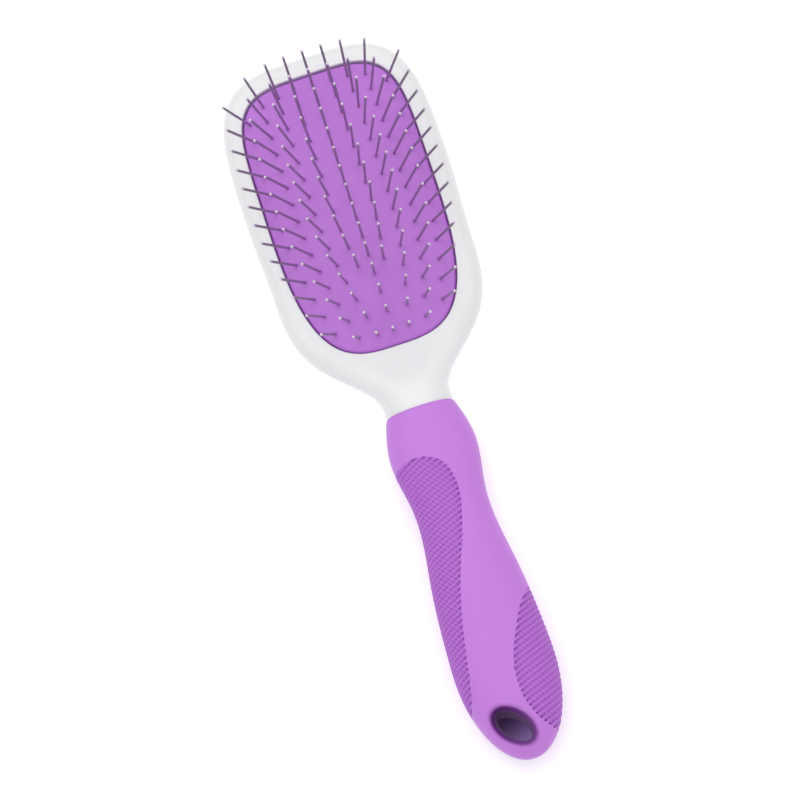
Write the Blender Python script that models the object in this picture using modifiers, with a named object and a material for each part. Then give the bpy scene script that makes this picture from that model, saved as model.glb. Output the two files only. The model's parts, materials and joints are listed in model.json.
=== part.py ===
"""Pin brush: white head and neck, domed rubber cushion full of steel pins, soft purple grip.

The brush lies on its back. X runs across the head, +Y from the handle to the tip of the head,
and +Z the way the pins point. The origin is under the middle of the brush, where it rests.
"""

import math

import bmesh
import bpy
import numpy as np
from mathutils import Matrix, Vector

# Head and neck, white moulding
BRUSH_LENGTH = 0.235
HEAD_LENGTH = 0.1191
HEAD_HALF_WIDTH = 0.0337
HEAD_TAPER = 0.0011
HEAD_WIDEST_FROM_TIP = 0.0453
HEAD_TIP_SQUARENESS = 3.7
NECK_HALF_WIDTH = 0.0106
SHOULDER_LENGTH = 0.0436
SHOULDER_MIDDLE = 0.33
SHOULDER_SHARPNESS = 1.75
HEAD_THICKNESS = 0.012
HEAD_WAIST_HEIGHT = 0.007
RIM_EDGE_RADIUS = 0.004
BACK_EDGE_RADIUS = 0.009
NECK_EDGE_RADIUS = 0.0085
NECK_BOTTOM = 0.0024
NECK_THICKNESS = 0.0126
NECK_RISE_LENGTH = 0.016
BACK_RISE_LENGTH = 0.027

# Recess and groove that hold the cushion
RIM_WIDTH = 0.0068
RIM_TIP_WIDTH = 0.0078
RIM_NECK_WIDTH = 0.0179
RECESS_FLOOR = 0.003
SEAT_CLEARANCE = 0.0003
SLIT_WIDTH = 0.0005

# Cushion, a domed rubber diaphragm with a flange round its foot
PAD_TIP_SQUARENESS = 4.15
PAD_NECK_SQUARENESS = 3.3
CROWN_HEIGHT = 0.0063
CROWN_POWER = 2.5
CUSHION_WALL = 0.0013
CUSHION_EDGE_DROP = 0.0008
CUSHION_EDGE_ROUND = 0.0005
FLANGE_DROP = 0.0034
FLANGE_WIDTH = 0.0015

# Pins, each through a hole in the rubber and fast in a strip of the backing
PIN_LENGTH = 0.018
PIN_RADIUS = 0.00042
PIN_TIP_RADIUS = 0.00052
PIN_TIP_LENGTH = 0.0013
PIN_PITCH = 0.00605
PIN_MARGIN = 0.0046
SIDE_PIN_LEAN = 0.09
HOLE_CLEARANCE = 0.0003
STRIP_WIDTH = 0.0030
STRIP_THICKNESS = 0.0008
STRIP_GAP = 0.0005
STRIP_END_GAP = 0.0006
STRIP_EDGE_GAP = 0.0005
PIN_FOOT_DEPTH = 0.0005
COLUMN_INNER_X = 0.0062
COLUMN_SIDE_MARGIN = 0.00375
COLUMN_TIP_BEND = 0.0011
COLUMN_BEND = 0.007
COLUMN_BEND_DROP = 0.0078
COLUMN_BEND_LENGTH = 0.044
COLUMN_SPACE = 0.0042

# Grip, soft rubber moulded over the tang
COLLAR_FROM_NECK = 0.0040
COLLAR_SIDE_STEP = 0.0004
COLLAR_STEP = 0.0011
COLLAR_ROUND = 0.0016
BULGE_FROM_COLLAR = 0.0129
BULGE_HALF_WIDTH = 0.0137
BULGE_BOTTOM = 0.0009
BULGE_TOP = 0.0177
WAIST_FROM_COLLAR = 0.0289
WAIST_HALF_WIDTH = 0.0117
WAIST_BOTTOM = 0.0016
WAIST_TOP = 0.0174
SWELL_HALF_WIDTH = 0.0137
SWELL_BOTTOM = 0.0006
SWELL_TOP = 0.0194
PALM_FROM_END = 0.0315
PALM_HALF_WIDTH = 0.0155
PALM_TOP = 0.0208
END_ROUND_LENGTH = 0.029
GRIP_SQUARENESS = 2.3
GRIP_WALL = 0.003
TANG_HOLE_GAP = 0.004
GRIP_FIT = 0.0003

# Hang hole, an oval turned across the end of the handle
HANG_HOLE_X = -0.0029
HANG_HOLE_FROM_END = 0.0102
HANG_HOLE_LENGTH = 0.0125
HANG_HOLE_WIDTH = 0.0068
HANG_HOLE_TURN = -47.0
HANG_HOLE_LIP = 0.0016

# Ribbed panels let into the grip
PANEL_THICKNESS = 0.0012
PANEL_FIT = 0.0003

# Panel edges as (x, distance down from the collar), then (x, distance up from the end)
LEFT_EDGE_FROM_COLLAR = ((-0.0150, 0.0188), (-0.0100, 0.0161), (-0.0040, 0.0159),
                         (0.0020, 0.0199), (0.0038, 0.0273), (0.0010, 0.0404))
LEFT_EDGE_FROM_END = ((-0.0043, 0.0565), (-0.0091, 0.0375), (-0.0124, 0.0215), (-0.0170, 0.0095))
RIGHT_EDGE_FROM_END = ((0.0170, 0.0515), (0.0118, 0.0460), (0.0075, 0.0385), (0.0036, 0.0295),
                       (0.0022, 0.0215), (0.0040, 0.0125), (0.0085, 0.0060), (0.0150, 0.0015))

# How finely round forms are divided
TIP_STEPS = 12
STRAIGHT_STEPS = 2
SHOULDER_STEPS = 18
EDGE_STEPS = 8
PAD_SIDES = 36
CUSHION_SIDES = 24
CUSHION_RINGS = (0.0, 0.42, 0.72, 0.93)
GRIP_SIDES = 28
GRIP_STEPS = 22
END_STEPS = 9
COLLAR_STEPS = 3
TANG_SIDES = 16
TANG_STEPS = 12
PANEL_EDGE_STEPS = 28
HANG_HOLE_SIDES = 24
LIP_STEPS = 3
PIN_SIDES = 3
COLUMNS = 9
ZONES = ("neck", "middle", "tip")
SETTLE_STEPS = 40
SLOPE_STEP = 0.0001
MERGE_DISTANCE = 0.000002

# Places worked out from the sizes above
TIP_Y = BRUSH_LENGTH / 2
END_Y = -BRUSH_LENGTH / 2
NECK_Y = TIP_Y - HEAD_LENGTH
HEAD_WIDEST_Y = TIP_Y - HEAD_WIDEST_FROM_TIP
RIM_Z = HEAD_THICKNESS
PAD_HALF_WIDTH = HEAD_HALF_WIDTH - RIM_WIDTH
PAD_TIP_LENGTH = TIP_Y - RIM_TIP_WIDTH - HEAD_WIDEST_Y
PAD_NECK_LENGTH = HEAD_WIDEST_Y - NECK_Y - RIM_NECK_WIDTH
CUSHION_EDGE_Z = RIM_Z - CUSHION_EDGE_DROP
FLANGE_TOP_Z = RIM_Z - FLANGE_DROP
COLUMN_PITCH = (PAD_HALF_WIDTH - COLUMN_SIDE_MARGIN - COLUMN_INNER_X) / (COLUMNS // 2 - 1)
COLUMN_BEND_START_Y = HEAD_WIDEST_Y - COLUMN_BEND_DROP
NECK_TOP = NECK_BOTTOM + NECK_THICKNESS
COLLAR_Y = NECK_Y - COLLAR_FROM_NECK
COLLAR_HALF_WIDTH = NECK_HALF_WIDTH + COLLAR_SIDE_STEP
COLLAR_BOTTOM = NECK_BOTTOM - COLLAR_STEP
COLLAR_TOP = NECK_TOP + COLLAR_STEP
BULGE_Y = COLLAR_Y - BULGE_FROM_COLLAR
WAIST_Y = COLLAR_Y - WAIST_FROM_COLLAR
PALM_Y = END_Y + PALM_FROM_END
SWELL_Y = (WAIST_Y + PALM_Y) / 2
HANG_HOLE_Y = END_Y + HANG_HOLE_FROM_END
TANG_END_Y = HANG_HOLE_Y + HANG_HOLE_LENGTH / 2 + HANG_HOLE_LIP + TANG_HOLE_GAP


def make_collection(name):
    """A new collection in the scene."""
    group = bpy.data.collections.new(name)
    bpy.context.scene.collection.children.link(group)
    return group


def clear_scene():
    """Take away whatever the file was opened with."""
    for old in list(bpy.data.objects):
        bpy.data.objects.remove(old, do_unlink=True)


def make_material(name, colour, roughness, metallic=0.0):
    """A Principled material in one finish."""
    finish = bpy.data.materials.new(name)
    finish.use_nodes = True
    shader = finish.node_tree.nodes["Principled BSDF"]
    shader.inputs["Base Color"].default_value = (*colour, 1.0)
    shader.inputs["Roughness"].default_value = roughness
    shader.inputs["Metallic"].default_value = metallic
    finish.diffuse_color = (*colour, 1.0)
    return finish


clear_scene()
PARTS = make_collection("pin_brush")
CUTTERS = make_collection("cutters")
WHITE_PLASTIC = make_material("white_plastic", (0.80, 0.80, 0.81), 0.32)
CUSHION_RUBBER = make_material("cushion_rubber", (0.45, 0.19, 0.60), 0.55)
PIN_STEEL = make_material("pin_steel", (0.56, 0.56, 0.58), 0.22, 1.0)
GRIP_RUBBER = make_material("grip_rubber", (0.52, 0.24, 0.70), 0.60)
PANEL_RUBBER = make_material("panel_rubber", (0.42, 0.14, 0.60), 0.70)


def add_object(name, mesh, finish, smooth_angle=40.0):
    """Put a mesh into the brush as one named sub-part."""
    part = bpy.data.objects.new(name, mesh)
    PARTS.objects.link(part)
    part.data.materials.append(finish)
    part.data.shade_smooth()
    part.data.set_sharp_from_angle(angle=math.radians(smooth_angle))
    return part


def add_cutter(name, mesh):
    """Put a mesh among the cutters, out of the render."""
    cutter = bpy.data.objects.new(name, mesh)
    CUTTERS.objects.link(cutter)
    cutter.hide_render = True
    cutter.display_type = "WIRE"
    return cutter


def add_boolean(part, other, operation):
    """Cut, join or intersect a part with another object."""
    step = part.modifiers.new(operation.lower() + "_" + other.name, "BOOLEAN")
    step.operation = operation
    step.object = other
    step.solver = "EXACT"
    return step


def mesh_from_grid(name, grid, close_rings=False, cap_ends=False):
    """Join neighbouring points of a grid, rows by columns, into faces."""
    rows, columns = grid.shape[:2]
    bm = bmesh.new()
    points = [[bm.verts.new(point) for point in row] for row in grid]
    span = columns if close_rings else columns - 1
    for row in range(rows - 1):
        for column in range(span):
            after = (column + 1) % columns
            corners = (points[row][column], points[row][after],
                       points[row + 1][after], points[row + 1][column])
            bm.faces.new(corners)
    if cap_ends:
        bm.faces.new(points[0][::-1])
        bm.faces.new(points[-1])
    bmesh.ops.remove_doubles(bm, verts=bm.verts, dist=MERGE_DISTANCE)
    bmesh.ops.dissolve_degenerate(bm, edges=bm.edges, dist=MERGE_DISTANCE / 2)
    bmesh.ops.recalc_face_normals(bm, faces=bm.faces)
    mesh = bpy.data.meshes.new(name)
    bm.to_mesh(mesh)
    bm.free()
    return mesh


def evaluated_mesh(source):
    """The mesh that an object has after its modifiers."""
    graph = bpy.context.evaluated_depsgraph_get()
    return bpy.data.meshes.new_from_object(source.evaluated_get(graph))


def prism_from_outline(name, outline, low, high):
    """A closed plan outline as a filled 2D curve, extruded from low to high and made a mesh."""
    curve = bpy.data.curves.new(name, "CURVE")
    curve.dimensions = "2D"
    curve.fill_mode = "BOTH"
    curve.extrude = (high - low) / 2
    spline = curve.splines.new("POLY")
    spline.points.add(len(outline) - 1)
    for point, (x, y) in zip(spline.points, outline):
        point.co = (x, y, 0.0, 1.0)
    spline.use_cyclic_u = True
    flat = bpy.data.objects.new(name, curve)
    bpy.context.scene.collection.objects.link(flat)
    flat.location.z = (high + low) / 2
    bpy.context.view_layer.update()
    mesh = evaluated_mesh(flat)
    mesh.transform(flat.matrix_world)
    bpy.data.objects.remove(flat, do_unlink=True)
    bm = bmesh.new()
    bm.from_mesh(mesh)
    bmesh.ops.remove_doubles(bm, verts=bm.verts, dist=MERGE_DISTANCE)
    bmesh.ops.recalc_face_normals(bm, faces=bm.faces)
    bm.to_mesh(mesh)
    bm.free()
    return mesh


def ease(share):
    """Smooth step from 0 to 1."""
    t = np.clip(share, 0.0, 1.0)
    return t * t * (3.0 - 2.0 * t)


def spline_value(knots, values, at):
    """Natural cubic spline through a few stations, held level past both ends."""
    knots = np.asarray(knots, float)
    values = np.asarray(values, float)
    steps = np.diff(knots)
    slopes = np.diff(values) / steps
    count = len(knots)
    matrix = np.eye(count)
    right = np.zeros(count)
    for i in range(1, count - 1):
        matrix[i, i - 1:i + 2] = steps[i - 1], 2 * (steps[i - 1] + steps[i]), steps[i]
        right[i] = 6 * (slopes[i] - slopes[i - 1])
    bend = np.linalg.solve(matrix, right)
    x = np.clip(at, knots[0], knots[-1])
    k = np.clip(np.searchsorted(knots, x) - 1, 0, count - 2)
    a = (knots[k + 1] - x) / steps[k]
    b = 1.0 - a
    cubic = ((a ** 3 - a) * bend[k] + (b ** 3 - b) * bend[k + 1]) * steps[k] ** 2 / 6
    return a * values[k] + b * values[k + 1] + cubic


# Head, neck and tang


def head_half_width(y):
    """Half-width down to the neck: sides that draw in a little, then one S-shaped shoulder."""
    t = np.clip((y - NECK_Y) / SHOULDER_LENGTH, 1e-6, 1.0)
    pull = (1 - SHOULDER_MIDDLE) / SHOULDER_MIDDLE
    share = 1.0 / (1.0 + ((1.0 - t) / (pull * t)) ** SHOULDER_SHARPNESS)
    straight = HEAD_WIDEST_Y - NECK_Y - SHOULDER_LENGTH
    side = HEAD_HALF_WIDTH - HEAD_TAPER * ease((HEAD_WIDEST_Y - y) / straight)
    return NECK_HALF_WIDTH + (side - NECK_HALF_WIDTH) * share


def head_outline_half():
    """Plan points of one side, from the middle of the tip round to the end of the neck."""
    turn = np.radians(np.linspace(0.0, 90.0, TIP_STEPS + 1))
    power = 2.0 / HEAD_TIP_SQUARENESS
    x = HEAD_HALF_WIDTH * np.sin(turn) ** power
    y = HEAD_WIDEST_Y + (TIP_Y - HEAD_WIDEST_Y) * np.cos(turn).clip(0.0, 1.0) ** power
    shoulder_top = NECK_Y + SHOULDER_LENGTH
    straight = np.linspace(HEAD_WIDEST_Y, shoulder_top, STRAIGHT_STEPS + 1)[1:]
    shoulder = np.linspace(shoulder_top, NECK_Y, SHOULDER_STEPS)[1:]
    neck_end = COLLAR_Y + GRIP_FIT
    lower = np.concatenate([straight, shoulder, [neck_end]])
    x = np.concatenate([x, head_half_width(lower)])
    y = np.concatenate([y, lower])
    return np.stack([x, y], axis=1)


def outline_normals(outline):
    """Outward plan normals of an outline that runs from the tip down its +X side."""
    along = np.gradient(outline, axis=0)
    normals = np.stack([-along[:, 1], along[:, 0]], axis=1)
    normals[0] = (0.0, 1.0)
    normals[-1] = (1.0, 0.0)
    return normals / np.linalg.norm(normals, axis=1, keepdims=True)


def body_levels(y):
    """Bottom, widest level and top of the white moulding at y."""
    top_rise = ease((NECK_Y + NECK_RISE_LENGTH - y) / NECK_RISE_LENGTH)
    low_rise = ease((NECK_Y + BACK_RISE_LENGTH - y) / BACK_RISE_LENGTH)
    top = HEAD_THICKNESS + (NECK_TOP - HEAD_THICKNESS) * top_rise
    low = NECK_BOTTOM * low_rise
    neck_waist = (NECK_BOTTOM + NECK_TOP) / 2
    waist = HEAD_WAIST_HEIGHT + (neck_waist - HEAD_WAIST_HEIGHT) * low_rise
    return low, waist, top


def head_half_grid():
    """Half of the head as sections: back edge, widest line and rim edge, closed to the middle."""
    outline = head_outline_half()
    normals = outline_normals(outline)
    angles = np.radians(np.linspace(-90.0, 90.0, EDGE_STEPS + 1))
    grid = np.zeros((len(outline), EDGE_STEPS + 3, 3))
    for i, (point, normal) in enumerate(zip(outline, normals)):
        blend = ease((NECK_Y + BACK_RISE_LENGTH - point[1]) / BACK_RISE_LENGTH)
        for k, angle in enumerate(angles):
            radius = RIM_EDGE_RADIUS if angle > 0 else BACK_EDGE_RADIUS
            radius += (NECK_EDGE_RADIUS - radius) * blend
            place = point - normal * radius * (1.0 - math.cos(angle))
            low, waist, top = body_levels(place[1])
            reach = top - waist if angle > 0 else waist - low
            grid[i, k + 1] = (max(place[0], 0.0), place[1], waist + reach * math.sin(angle))
        grid[i, 0] = (0.0, *grid[i, 1, 1:])
        grid[i, -1] = (0.0, *grid[i, -2, 1:])
    return grid


def close_half(mesh_name, grid):
    """Faces of the half head, with the flat end of the neck filled and the middle left open."""
    mesh = mesh_from_grid(mesh_name, grid)
    bm = bmesh.new()
    bm.from_mesh(mesh)
    end_y = float(grid[-1, 0, 1])
    rim = [edge for edge in bm.edges
           if edge.is_boundary and all(abs(v.co.y - end_y) < MERGE_DISTANCE for v in edge.verts)]
    bmesh.ops.contextual_create(bm, geom=rim)
    bmesh.ops.recalc_face_normals(bm, faces=bm.faces)
    bm.to_mesh(mesh)
    bm.free()
    return mesh


def handle_section(y, inset):
    """Half-width, middle height and half-thickness of the grip at y, drawn in by inset."""
    stations = (PALM_Y, SWELL_Y, WAIST_Y, BULGE_Y, COLLAR_Y)
    widths = (PALM_HALF_WIDTH, SWELL_HALF_WIDTH, WAIST_HALF_WIDTH, BULGE_HALF_WIDTH,
              COLLAR_HALF_WIDTH)
    lows = (0.0, SWELL_BOTTOM, WAIST_BOTTOM, BULGE_BOTTOM, COLLAR_BOTTOM)
    tops = (PALM_TOP, SWELL_TOP, WAIST_TOP, BULGE_TOP, COLLAR_TOP)
    width = spline_value(stations, widths, y)
    low = spline_value(stations, lows, y)
    top = spline_value(stations, tops, y)
    start = END_Y + END_ROUND_LENGTH
    past = np.clip((start - y) / (END_ROUND_LENGTH - inset), 0.0, 1.0)
    close = np.sqrt(1.0 - past ** 2)
    half_width = (width - inset) * close
    half_height = ((top - low) / 2 - inset) * close
    return half_width, (top + low) / 2, half_height


def section_ring(y, half_width, middle, half_height, sides):
    """One rounded section of the handle as a ring of points."""
    turn = np.linspace(0.0, 2 * math.pi, sides, endpoint=False)
    power = 2.0 / GRIP_SQUARENESS
    x = half_width * np.sign(np.cos(turn)) * np.abs(np.cos(turn)) ** power
    z = middle + half_height * np.sign(np.sin(turn)) * np.abs(np.sin(turn)) ** power
    return np.stack([x, np.full(sides, y), z], axis=1)


def handle_stations(start_y, inset):
    """Places of the sections from start_y to the end of the handle, closer round the end."""
    round_start = END_Y + END_ROUND_LENGTH
    body = np.linspace(start_y, round_start, GRIP_STEPS)
    turn = np.radians(np.linspace(0.0, 90.0, END_STEPS + 1)[1:])
    end = round_start - (END_ROUND_LENGTH - inset) * np.sin(turn)
    return np.concatenate([body, end])


def handle_loft(name, inset):
    """A closed loft from the collar to the end, below the grip's surface by the inset."""
    rings = []
    for y in handle_stations(COLLAR_Y, inset):
        rings.append(section_ring(y, *handle_section(y, inset), GRIP_SIDES))
    return mesh_from_grid(name, np.array(rings), close_rings=True, cap_ends=True)


def tang_mesh(name, inset, start_y, end_y):
    """The tongue inside the grip, or its cavity, as a loft that ends square."""
    rings = []
    for y in np.linspace(start_y, end_y, TANG_STEPS + 1):
        rings.append(section_ring(y, *handle_section(y, inset), TANG_SIDES))
    return mesh_from_grid(name, np.array(rings), close_rings=True, cap_ends=True)


# Cushion and its seat


def pad_outline(scale=1.0, grow=0.0, steps=PAD_SIDES):
    """Closed plan outline of the cushion, squarer at the tip than at the neck."""
    points = []
    for turn in np.linspace(0.0, 2 * math.pi, steps, endpoint=False):
        towards_tip = math.cos(turn) >= 0.0
        squareness = PAD_TIP_SQUARENESS if towards_tip else PAD_NECK_SQUARENESS
        reach = PAD_TIP_LENGTH if towards_tip else PAD_NECK_LENGTH
        across = math.copysign(abs(math.sin(turn)) ** (2.0 / squareness), math.sin(turn))
        along = math.copysign(abs(math.cos(turn)) ** (2.0 / squareness), math.cos(turn))
        x = (PAD_HALF_WIDTH * scale + grow) * across
        y = HEAD_WIDEST_Y + (reach * scale + grow) * along
        points.append((x, y))
    return np.array(points)


def pad_radius(x, y):
    """0 at the crown, 1 on the cushion's outline."""
    towards_tip = y >= HEAD_WIDEST_Y
    squareness = PAD_TIP_SQUARENESS if towards_tip else PAD_NECK_SQUARENESS
    reach = PAD_TIP_LENGTH if towards_tip else PAD_NECK_LENGTH
    across = abs(x / PAD_HALF_WIDTH) ** squareness
    along = abs((y - HEAD_WIDEST_Y) / reach) ** squareness
    return (across + along) ** (1.0 / squareness)


def crown_z(x, y):
    """Height of the cushion's outer face."""
    return CUSHION_EDGE_Z + CROWN_HEIGHT * (1.0 - pad_radius(x, y) ** CROWN_POWER)


def crown_normal(x, y):
    """Unit normal of the cushion's outer face, from central differences."""
    step = SLOPE_STEP
    slope_x = (crown_z(x + step, y) - crown_z(x - step, y)) / (2 * step)
    slope_y = (crown_z(x, y + step) - crown_z(x, y - step)) / (2 * step)
    return Vector((-slope_x, -slope_y, 1.0)).normalized()


def cushion_grid():
    """Rings of the cushion's outer face: crown, rolled edge, side wall and flange."""
    rings = []
    for scale in CUSHION_RINGS:
        outline = pad_outline(scale, steps=CUSHION_SIDES)
        height = CUSHION_EDGE_Z + CROWN_HEIGHT * (1.0 - scale ** CROWN_POWER)
        rings.append(np.column_stack([outline, np.full(len(outline), height)]))
    edge = ((0.0, CUSHION_EDGE_Z - CUSHION_EDGE_ROUND), (0.0, FLANGE_TOP_Z),
            (FLANGE_WIDTH, FLANGE_TOP_Z))
    for grow, height in edge:
        outline = pad_outline(grow=grow, steps=CUSHION_SIDES)
        rings.append(np.column_stack([outline, np.full(len(outline), height)]))
    return np.array(rings)


def build_cushion():
    """The rubber diaphragm as an open surface with a wall, and a hole for each pin."""
    mesh = mesh_from_grid("cushion", cushion_grid(), close_rings=True)
    if mesh.polygons[0].normal.z < 0:
        mesh.flip_normals()
    cushion = add_object("cushion", mesh, CUSHION_RUBBER)
    wall = cushion.modifiers.new("wall", "SOLIDIFY")
    wall.thickness = CUSHION_WALL
    wall.offset = -1.0
    wall.use_even_offset = True
    holes = add_cutter("pin_holes", pin_hole_mesh())
    add_boolean(cushion, holes, "DIFFERENCE")
    return cushion


# Pin field


def column_base(column):
    """Distance of a column from the middle, and its side, over the straight part of the field."""
    rank = column - COLUMNS // 2
    if rank == 0:
        return 0.0, 1.0
    return COLUMN_INNER_X + (abs(rank) - 1) * COLUMN_PITCH, math.copysign(1.0, rank)


def column_x(column, y):
    """Where a column runs at y: nearly straight to the tip, bent in toward the neck."""
    base, side = column_base(column)
    if base == 0.0:
        return 0.0
    share = min(max(COLUMN_BEND_START_Y - y, 0.0) / COLUMN_BEND_LENGTH, 1.0)
    bend = COLUMN_BEND * (1.0 - math.cos(share * math.pi / 2))
    tip_share = max(y - HEAD_WIDEST_Y, 0.0) / PAD_TIP_LENGTH
    tip_bend = COLUMN_TIP_BEND * tip_share ** 2 * base / COLUMN_INNER_X / (COLUMNS // 2)
    return side * (base - bend - tip_bend)


def crowding_y(column):
    """Where a bending column comes too near the middle one, or far past the cushion if never."""
    base, _ = column_base(column)
    shift = base - COLUMN_SPACE
    if base == 0.0 or shift >= COLUMN_BEND:
        return END_Y
    share = math.acos(1.0 - shift / COLUMN_BEND) / (math.pi / 2)
    return COLUMN_BEND_START_Y - share * COLUMN_BEND_LENGTH


def column_end(column, towards_tip):
    """Last place of a column, a margin inside the cushion's edge and clear of the middle."""
    squareness = PAD_TIP_SQUARENESS if towards_tip else PAD_NECK_SQUARENESS
    reach = PAD_TIP_LENGTH if towards_tip else PAD_NECK_LENGTH
    y = HEAD_WIDEST_Y
    for _ in range(SETTLE_STEPS):
        across = min(abs(column_x(column, y)) / PAD_HALF_WIDTH, 1.0)
        length = reach * (1.0 - across ** squareness) ** (1.0 / squareness) - PIN_MARGIN
        y = HEAD_WIDEST_Y + (length if towards_tip else -length)
    return y if towards_tip else max(y, crowding_y(column))


def column_places(column):
    """Evenly spaced places of one column's pins, from the neck to the tip."""
    first = column_end(column, False)
    last = column_end(column, True)
    count = int(round((last - first) / PIN_PITCH)) + 1
    return [(column_x(column, y), y) for y in np.linspace(first, last, count)]


def pin_frame(x, y):
    """Matrix that stands a pin on the cushion, square to its face, side ones leaning back a little."""
    lean = SIDE_PIN_LEAN * (abs(x) / PAD_HALF_WIDTH) ** PAD_NECK_SQUARENESS
    direction = crown_normal(x, y) - Vector((0.0, lean, 0.0))
    turn = direction.to_track_quat("Z", "Y").to_matrix().to_4x4()
    return Matrix.Translation((x, y, crown_z(x, y))) @ turn


def turned_mesh(name, profile):
    """A turned shape from (radius, height) points that run down its outer side."""
    mesh = bpy.data.meshes.new(name)
    points = [(radius, 0.0, height) for radius, height in profile]
    edges = [(i, i + 1) for i in range(len(points) - 1)]
    mesh.from_pydata(points, edges, [])
    turned = bpy.data.objects.new(name, mesh)
    bpy.context.scene.collection.objects.link(turned)
    screw = turned.modifiers.new("turn", "SCREW")
    screw.steps = PIN_SIDES
    screw.render_steps = PIN_SIDES
    screw.use_merge_vertices = True
    screw.merge_threshold = MERGE_DISTANCE
    bpy.context.view_layer.update()
    result = evaluated_mesh(turned)
    bpy.data.objects.remove(turned, do_unlink=True)
    bm = bmesh.new()
    bm.from_mesh(result)
    bmesh.ops.remove_doubles(bm, verts=bm.verts, dist=MERGE_DISTANCE)
    bmesh.ops.recalc_face_normals(bm, faces=bm.faces)
    bm.to_mesh(result)
    bm.free()
    return result


def copies_mesh(name, mesh, frames):
    """One mesh with a copy of another at each of several frames."""
    bm = bmesh.new()
    for frame in frames:
        start = len(bm.verts)
        bm.from_mesh(mesh)
        bm.verts.ensure_lookup_table()
        bmesh.ops.transform(bm, matrix=frame, verts=bm.verts[start:])
    result = bpy.data.meshes.new(name)
    bm.to_mesh(result)
    bm.free()
    return result


def pin_mesh():
    """A straight wire with a rounded, slightly thicker tip and its foot in the strip."""
    foot = -(CUSHION_WALL + STRIP_GAP + PIN_FOOT_DEPTH)
    profile = (
        (0.0, PIN_LENGTH),
        (PIN_TIP_RADIUS, PIN_LENGTH - PIN_TIP_RADIUS),
        (PIN_RADIUS, PIN_LENGTH - PIN_TIP_LENGTH),
        (PIN_RADIUS, foot),
        (0.0, foot),
    )
    return turned_mesh("pin", profile)


def pin_hole_mesh():
    """Clearance holes through the cushion, square to its face, one for each pin."""
    radius = PIN_RADIUS + HOLE_CLEARANCE / math.cos(math.pi / PIN_SIDES)
    reach = 2 * CUSHION_WALL
    profile = ((0.0, reach), (radius, reach), (radius, -reach), (0.0, -reach))
    frames = []
    for column in range(COLUMNS):
        frames.extend(pin_frame(x, y) for x, y in column_places(column))
    return copies_mesh("pin_holes", turned_mesh("pin_hole", profile), frames)


def under_cushion(x, y, depth):
    """A point below the cushion's outer face, measured square to it."""
    return Vector((x, y, crown_z(x, y))) - crown_normal(x, y) * depth


def inside_wall(x, y):
    """The place itself, or the nearest toward the crown that clears the cushion's side wall."""
    inset = CUSHION_WALL + STRIP_EDGE_GAP
    towards_tip = y >= HEAD_WIDEST_Y
    squareness = PAD_TIP_SQUARENESS if towards_tip else PAD_NECK_SQUARENESS
    reach = PAD_TIP_LENGTH if towards_tip else PAD_NECK_LENGTH
    across = abs(x / (PAD_HALF_WIDTH - inset)) ** squareness
    along = abs((y - HEAD_WIDEST_Y) / (reach - inset)) ** squareness
    share = 1.0 / max((across + along) ** (1.0 / squareness), 1.0)
    return x * share, HEAD_WIDEST_Y + (y - HEAD_WIDEST_Y) * share


def strip_mesh(name, column, row_places):
    """Top face of a backing strip that follows the inside of the cushion under one column."""
    depth = CUSHION_WALL + STRIP_GAP
    rows = []
    for y in row_places:
        x = column_x(column, y)
        left = under_cushion(*inside_wall(x - STRIP_WIDTH / 2, y), depth)
        right = under_cushion(*inside_wall(x + STRIP_WIDTH / 2, y), depth)
        rows.append((left, right))
    return mesh_from_grid(name, np.array(rows))


def build_pin_strip(column, zone, places, row_places, pin):
    """One slice of the backing with its pins fast in it, its origin on the line that it slides."""
    name = "pins_column_%d_%s" % (column + 1, zone)
    mesh = strip_mesh(name, column, row_places)
    if mesh.polygons[0].normal.z < 0:
        mesh.flip_normals()
    middle = (places[0].translation + places[-1].translation) / 2
    mesh.transform(Matrix.Translation(-middle))
    strip = add_object(name, mesh, PIN_STEEL)
    strip.location = middle
    wall = strip.modifiers.new("thickness", "SOLIDIFY")
    wall.thickness = STRIP_THICKNESS
    wall.offset = -1.0
    pins = add_cutter("wires_" + name, copies_mesh("wires_" + name, pin, places))
    add_boolean(strip, pins, "UNION")
    return strip


def build_pin_field():
    """Nine columns of pins, each on three slices of backing."""
    pin = pin_mesh()
    for column in range(COLUMNS):
        places = column_places(column)
        pitch = places[1][1] - places[0][1]
        groups = np.array_split(np.arange(len(places)), len(ZONES))
        for zone, group in zip(ZONES, groups):
            group_places = [places[i] for i in group]
            half = (pitch - STRIP_END_GAP) / 2
            frames = [pin_frame(x, y) for x, y in group_places]
            pin_rows = [y for _, y in group_places]
            row_places = [pin_rows[0] - half, *pin_rows, pin_rows[-1] + half]
            build_pin_strip(column, zone, frames, row_places, pin)


# Building the moulding and the handle


def build_head_body():
    """White moulding: head and neck as a mirrored half, joined to the tang, with the recess cut."""
    body = add_object("head_body", close_half("head_body", head_half_grid()), WHITE_PLASTIC)
    mirror = body.modifiers.new("mirror", "MIRROR")
    mirror.use_mirror_merge = True
    mirror.merge_threshold = MERGE_DISTANCE
    tang = add_cutter("tang", tang_mesh("tang", GRIP_WALL, NECK_Y, TANG_END_Y))
    add_boolean(body, tang, "UNION")
    above = RIM_Z + CROWN_HEIGHT
    recess = prism_from_outline("recess", pad_outline(grow=SLIT_WIDTH), RECESS_FLOOR, above)
    add_boolean(body, add_cutter("recess", recess), "DIFFERENCE")
    groove = prism_from_outline(
        "groove",
        pad_outline(grow=FLANGE_WIDTH + SEAT_CLEARANCE),
        FLANGE_TOP_Z - CUSHION_WALL - SEAT_CLEARANCE,
        FLANGE_TOP_Z + SEAT_CLEARANCE,
    )
    add_boolean(body, add_cutter("groove", groove), "DIFFERENCE")
    return body


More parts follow.
